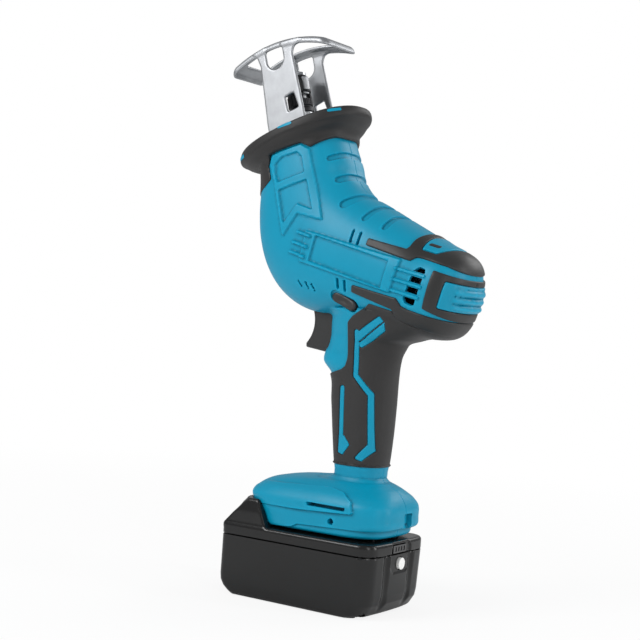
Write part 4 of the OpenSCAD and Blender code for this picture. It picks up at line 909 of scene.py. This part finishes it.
BOOT_SECTIONS = [nose_section(46, 38, 37, 31), nose_section(60, 36.7, 36.2, 30.7),
                 nose_section(66, 36.4, 35.9, 30.9), tilted(72, 42, 38.5, 32.3, 1.5),
                 tilted(77, 48.5, 45, 34.5), tilted(81.5, 52.5, 49.8, 35.2), tilted(86, 50.5, 49.5, 34.9),
                 tilted(88, 45.5, 45.5, 31.5)]
BOOT_SKIN = Loft(BOOT_SECTIONS, (False, True))
MOUTH = Loft([nose_section(u, 29, 29, 23.5) for u in (70, 88, 110)], (True, False))
BOOT_EDGE = soft([(-120, 262), (-70, 279), (-60, 284.3), (-52.2, 288.2), (-45.9, 293.3), (-49.2, 302.3),
    (-48, 310.2), (-42.6, 312.7), (-22.7, 318.9), (-15.5, 316), (-7.1, 321.9), (-3.2, 324.5), (6, 323),
    (40, 330), (40, 380), (-120, 380)], 1)


def boot_field(p):
    x, y, z = p.T
    v, u = nose_frame(p)
    droop = 3.0 * np.clip(-v / 50, 0, 1.2)
    f = BOOT_SKIN.field(BOOT_SKIN.planar(x, z), y) - 0.7 * step(u + droop - RIM_RISE * v / 50, 79.2, 80.0)
    over = smooth_max(skin_at(p) - 0.7, u - 78, 2.0)
    f = smooth_max(smooth_min(f, over, 2.0), BOOT_EDGE(p), 1.2)
    return hollow(f, MOUTH.field(MOUTH.planar(x, z), y), 3.0)


def strips_field(p):
    """The teal strips let into the boot's rim: two on each side and one on each front corner."""
    y = p[:, 1]
    v, u = nose_frame(p)
    spots = [np.maximum(box2(v - along, u - (88 - 3.4 + along * 0.06), 6.0, 1.0, 0.8), 20 - abs(y))
             for along in (6.0, 43.0)]
    along_rim = 45.0 * np.arctan2(abs(y) / 35.5, -v / 52.5)
    spots.append(np.maximum(box2(along_rim - 32.0, u - 76.4, 5.5, 1.2, 0.8), 14 + v))
    return np.min(spots, axis=0)


boot = solid_mesh(boot_field, (-94, -37, 270), (44, 37, 352), 1.0)
strip = boot.cut(strips_field, [0.0], False).part(strips_field)
to_object("boot", boot, "boot", node="nose_boot", slot="soft_rubber", smooth_angle=SOLID_ANGLE)
n = gradient(boot_field, strip.p)
n /= np.sqrt((n ** 2).sum(1))[:, None]
strip.p = strip.p + 0.25 * n
to_object("boot_strip", strip, "teal", node="boot_strips", smooth_angle=SOLID_ANGLE)


# ---- battery
HALF_LEN, REAR_BOW, PACK_HALF_W, SEAM, PACK_TOP, HUMP_TOP = 62.5, 2.0, 38.5, 42.0, 50.5, 69.0
SEAM_GAP = 0.22       # each half of the case ends this far from the seam
PACK_SCREWS = [(x0, y0) for x0 in (-53.1, 51.1) for y0 in (-29.1, 29.1)]


def pack_plan(p):
    """Distance to the pack's plan, which draws in towards the bottom."""
    x, y, z = p.T
    front = -HALF_LEN - 0.6 + np.interp(z, [0.5, 5.4, 9.3, 13.5, 42], [9.0, 2.8, 0.5, 0.0, 0.4])
    rear = HALF_LEN - REAR_BOW - np.interp(z, [0, 2.5, 9, 14, 42], [10.5, 6.5, 2.4, 1.4, 0])
    half = PACK_HALF_W - np.interp(z, [0, 2.5, 9, 42], [1.6, 0.7, 0.4, 0])
    rear = rear + REAR_BOW * (1 - (y / half) ** 2)
    middle, reach = (front + rear) / 2, (rear - front) / 2
    return box2(x - middle, y, reach, half, np.where(x > middle, 11.0, 5.0))


def rear_oval(p):
    """The shallow round-ended field in the middle of the rear face."""
    x, y, z = p.T
    face = 59.3 + REAR_BOW * (1 - (y / PACK_HALF_W) ** 2)
    return np.maximum(box2(y - 1.6, z - 40.0, 12.5, 11.0, 6.0), face - x)


def lower_field(p):
    """The lower case, with two grooves down the rear, the oval, the screws' holes and the button's hole."""
    x, y, z = p.T
    f = smooth_max(smooth_max(pack_plan(p), -z, 1.2), z - (SEAM - SEAM_GAP), 0.6)
    wide = 4.6 + 4.4 * np.clip((15 - z) / 15, 0, 1)
    for side in (-1, 1):
        f = hollow(f, np.hypot(x - HALF_LEN - 2.0, y - 16 * side) - wide, 0.9)
    f = hollow(f, rear_oval(p), 0.5)
    for x0, y0 in PACK_SCREWS:
        f = hollow(f, np.maximum(np.hypot(x - x0, y - y0) - 3.4, z - 6.0), 0.3)
    return hollow(f, np.maximum(np.hypot(y - 2.0, z - 35.0) - 4.4, 56 - x), 0.4)


def upper_field(p):
    """The upper case, with its hump in front of the foot, the rail, the oval and the gauge's window."""
    x, y, z = p.T
    f = smooth_max(smooth_max(pack_plan(p), z - PACK_TOP, 3.0), (SEAM + SEAM_GAP) - z, 0.6)
    half = np.interp(z, [48.5, 60, 68.5], [38.0, 37.4, 36.2])
    corner = np.interp(z, [49, 51, 58, 63, 68], [-1.0, -0.2, 2.4, 5.8, 8.8])
    corner = corner * np.clip((abs(y) - 18) / 18.5, 0, 1.3) ** 2
    front = np.interp(z, [48.5, 58.5, 65.5, 68], [-61.6, -56, -53.1, -51.1]) + corner
    back = -32.9 + (68 - z) * 0.451
    hump = smooth_max(smooth_max(front - x, x - back, 1.5), smooth_max(abs(y) - half, z - HUMP_TOP, 2.0), 1.6)
    hump = smooth_max(smooth_max(hump, pack_plan(p) + 0.1, 1.0), 47 - z, 0.5)
    near_foot = (x < -15) & (z > 45)
    hump[near_foot] = hollow(hump[near_foot], skin_at(p[near_foot]) - 0.5, 0.4)
    hump[~near_foot] = 9.0
    rail = np.maximum(np.maximum(box2(y, z - 55, 16, 6, 1.0), x - 50), -30 - x)
    f = np.minimum(smooth_min(f, hump, 1.4), rail)
    f = hollow(f, rear_oval(p), 0.5)
    window = np.maximum(box2(y + 0.5, z - 45.4, 8.7, 2.8, 0.4), 57.8 - x)
    return hollow(f, window, 0.3)


solid("battery_case_lower", lower_field, (-65, -40, -1), (65, 40, 43), 1.0, "case", body="battery",
      node="battery_lower")
solid("battery_case_upper", upper_field, (-65, -40, 41), (65, 40, 70), 1.0, "case", body="battery",
      node="battery_upper")


# ---- controls
TRIGGER_SIDE = but_not(soft([(-23.5, 207), (-22, 176.8), (8, 172.6), (9, 176), (9, 204), (6, 207)], 0.8),
                       capsule((-38.2, 195), (-38.2, 195.1), 22))


def trigger_field(p):
    return smooth_max(TRIGGER_SIDE(p), abs(p[:, 1]) - 8.0, 3.2)


def lock_field(p):
    """The lock-off button through the housing, each head with a dish for the finger."""
    side = p[:, [0, 2]] - LOCK_SPOT
    along, across = side @ LOCK_AXIS, side @ np.array([-LOCK_AXIS[1], LOCK_AXIS[0]])
    head = box2(along, across, 10.3, 3.7, 3.69)
    dish = 27.2 - 0.9 * np.exp(-(along / 5.0) ** 2 - (across / 3.2) ** 2)
    return smooth_max(head, abs(p[:, 1]) - dish, 2.2)


solid("trigger_blade", trigger_field, (-24, -9.5, 171), (11, 9.5, 209), 0.8, "black", body="trigger",
      node="trigger")
solid("lock_head", lock_field, (7, -29, 202), (33, 29, 221), 0.8, "black", body="lock", node="lock_button")


# ---- blade clamp
LEVER_U = 121.1
LEVER_WAY, LEVER_SIDE = turned(-10.0), turned(80.0)


def lever_box(p, grow):
    """A window in the sleeve, turned towards the tool's near rear side."""
    v, y, u = p.T
    out = v * LEVER_WAY[0] + y * LEVER_WAY[1]
    across = v * LEVER_SIDE[0] + y * LEVER_SIDE[1]
    upper = box2(across, u - LEVER_U, 3.0 + grow, 5.0 + grow, 0.8)
    lower = box2(across + 0.8, u - LEVER_U + 8.6, 2.6 + grow, 2.4 + grow, 0.8)
    return np.maximum(np.minimum(upper, lower), 4.0 - grow - out)


def sleeve_field(p):
    """The clamp's sleeve: two grooves round it, knurling between them, and the lever's window."""
    v, y, u = p.T
    rho = np.hypot(v, y)
    r = np.interp(u, [99.9, 103.2, 103.6, 104.6, 105.0, 113.4, 113.8, 114.8, 115.2, 124.5, 127.7],
                  [8.8, 8.8, 8.0, 8.0, 8.8, 8.8, 7.9, 7.9, 8.8, 8.8, 7.6])
    knurl = 0.22 * np.cos(36 * np.arctan2(y, v)) * step(u, 104.8, 105.6) * (1 - step(u, 112.6, 113.4))
    f = smooth_max(rho - r - knurl, slab(u, 113.8, 13.9), 0.8)
    f = hollow(f, rho - 6.4, 0.4)
    return hollow(f, lever_box(p, 0.25), 0.4)


def lever_field(p):
    rho = np.hypot(p[:, 0], p[:, 1])
    outer = rho - np.where(p[:, 2] > 115, 9.7, 8.7)
    return smooth_max(smooth_max(lever_box(p, 0.0), outer, 0.8), 6.3 - rho, 0.3)


def pin_field(p):
    v, y, u = p.T
    return smooth_max(np.hypot(v + 1.2, y - 4.2) - 1.9, slab(u, 132.5, 7.0), 0.8)


solid("clamp_collar", sleeve_field, (-10, -10, 98.5), (10, 10, 129), 0.5, "oxide", from_nose, body="clamp",
      node="clamp_sleeve")
solid("clamp_lever", lever_field, (-10, -10, 113), (10, 10, 129), 0.5, "sheet", from_nose, body="clamp",
      slot="machined_steel")
solid("clamp_pin", pin_field, (-6, 1, 125), (1, 7, 141), 0.4, "steel", from_nose, body="plunger")


# ---- screws
def screw_field(p, tip):
    """One screw along y with a domed head and a cross recess, its head's seat at y = 12."""
    x, y, z = p.T
    rho = np.hypot(x, z)
    head = smooth_max(smooth_max(rho - 3.0, 12.05 - y, 0.3), y - 14.2 + 0.09 * rho ** 2, 0.4)
    deep = 12.9 + 0.35 * np.minimum(rho, 2.2)
    cross = np.minimum(box2(x, z, 1.9, 0.36, 0.1), box2(x, z, 0.36, 1.9, 0.1))
    head = hollow(head, np.maximum(cross, deep - y), 0.15)
    return np.minimum(head, smooth_max(smooth_max(rho - 1.4, tip - y, 0.6), y - 12.2, 0.2))


def several(surface, shifts):
    """Copies of one surface, one at each shift."""
    return Surface(np.vstack([surface.p + shift for shift in shifts]),
                   np.vstack([surface.t + len(surface.p) * k for k in range(len(shifts))]))


def screw(tip, low):
    return solid_mesh(lambda p: screw_field(p, tip), (-3.6, low, -3.6), (3.6, 15, 3.6), 0.35)


case_screws = several(screw(-7.2, -8), [(x, 0, z) for x, z in SCREW_SPOTS + HIDDEN_SCREWS])
to_object("case_screws", case_screws, "oxide", node="housing_screws", slot="machined_steel",
          smooth_angle=SOLID_ANGLE)
short = screw(6.0, 5)
upright = Surface(np.stack([short.p[:, 0], short.p[:, 2], 18.0 - short.p[:, 1]], 1), short.t)
to_object("pack_screws", several(upright, [(x, y, 0) for x, y in PACK_SCREWS]), "oxide", body="battery",
          node="battery_screws", slot="machined_steel", smooth_angle=SOLID_ANGLE)


# ---- floor, light and camera
def shown_as(tree, seen, lit, plain, output):
    """Rays that seen picks out get the plain shader, and all others the lit one."""
    mix = tree.nodes.new("ShaderNodeMixShader")
    for node, socket in ((seen, mix.inputs["Fac"]), (lit, mix.inputs[1]), (plain, mix.inputs[2]),
                         (mix, tree.nodes[output].inputs["Surface"])):
        tree.links.new(node.outputs[0], socket)


def floor_material():
    """Pale and matt. The camera sees it fade to plain white away from the object, with its shadow kept."""
    m = Nodes("pale_floor")
    m.set(Base_Color=(0.95, 0.95, 0.95, 1), Roughness=0.9, Specular_IOR_Level=0.1)
    path = m.new("LightPath")
    glow = m.new("Emission", Strength=1.0)
    seen = m.new("Math")
    seen.operation = "MULTIPLY"
    away = m.new("VectorMath")
    away.operation = "LENGTH"
    fade = m.new("MapRange", From_Min=0.12, From_Max=0.9, To_Min=0.86, To_Max=1.0)
    m.link(m.coord.outputs["Object"], away.inputs[0])
    m.link(away.outputs["Value"], fade.inputs["Value"])
    m.link(fade.outputs["Result"], seen.inputs[1])
    m.link(path.outputs["Is Camera Ray"], seen.inputs[0])
    shown_as(m.tree, seen, m.bsdf, glow, "Material Output")
    return m.material


def make_floor(r=6.0):
    mesh = bpy.data.meshes.new("floor")
    mesh.from_pydata([(-r, -r, 0), (r, -r, 0), (r, r, 0), (-r, r, 0)], [], [(0, 1, 2, 3)])
    mesh.materials.append(floor_material())
    floor = placed("floor", mesh)
    floor.location.z = -0.0004


def make_world(strength):
    """A plain white room that looks white to the camera and through glass, and lights at this strength."""
    world = bpy.data.worlds.new("studio")
    bpy.context.scene.world = world
    world.use_nodes = True
    tree = world.node_tree
    nodes, link = tree.nodes, tree.links.new
    path = nodes.new("ShaderNodeLightPath")
    white, room = nodes["Background"], nodes.new("ShaderNodeBackground")
    for node, colour, power in ((white, (1, 1, 1, 1), 1.0), (room, (0.98, 0.99, 1.0, 1), strength)):
        node.inputs["Color"].default_value = colour
        node.inputs["Strength"].default_value = power
    seen = nodes.new("ShaderNodeMath")
    seen.operation = "MAXIMUM"
    link(path.outputs["Is Camera Ray"], seen.inputs[0])
    link(path.outputs["Is Transmission Ray"], seen.inputs[1])
    shown_as(tree, seen, room, white, "World Output")


def area(name, place, target, size, power):
    light = bpy.data.lights.new(name, "AREA")
    light.shape = "RECTANGLE"
    light.size, light.size_y = size
    light.energy = power
    obj = placed(name, light)
    obj.location = place
    obj.rotation_mode = "QUATERNION"
    obj.rotation_quaternion = (Vector(target) - Vector(place)).to_track_quat("-Z", "Y")


def make_camera(place, azimuth, elevation, roll, focal_px, width_px=640.0, sensor=36.0):
    data = bpy.data.cameras.new("camera")
    data.sensor_width = sensor
    data.lens = focal_px * sensor / width_px
    data.clip_start, data.clip_end = 0.05, 20.0
    obj = placed("camera", data)
    a, e, roll = math.radians(azimuth), math.radians(elevation), math.radians(roll)
    right = Vector((math.cos(a), math.sin(a), 0))
    back = Vector((math.sin(a) * math.cos(e), -math.cos(a) * math.cos(e), math.sin(e)))
    up = back.cross(right)
    rolled_right = right * math.cos(roll) + up * math.sin(roll)
    rolled_up = up * math.cos(roll) - right * math.sin(roll)
    matrix = Matrix((rolled_right, rolled_up, back)).transposed().to_4x4()
    matrix.translation = Vector(place)
    obj.matrix_world = matrix
    bpy.context.scene.camera = obj


make_floor()
make_world(0.42)
for light in (("key", (-0.55, -1.15, 0.95), (0.0, 0.0, 0.2), (0.7, 0.7), 13.0),
              ("fill", (1.25, -0.75, 0.55), (0.0, 0.0, 0.2), (0.3, 1.0), 3.2),
              ("back", (0.5, 1.1, 0.9), (0.0, 0.0, 0.22), (0.9, 0.6), 5.0),
              ("rim", (1.1, 0.3, 0.4), (0.0, 0.0, 0.22), (0.14, 0.9), 3.5)):
    area(*light)
make_camera((0.52081, -0.80617, 0.20575), azimuth=33.656, elevation=0.548, roll=3.84, focal_px=1362.0)
bpy.context.scene.view_settings.view_transform = "Standard"
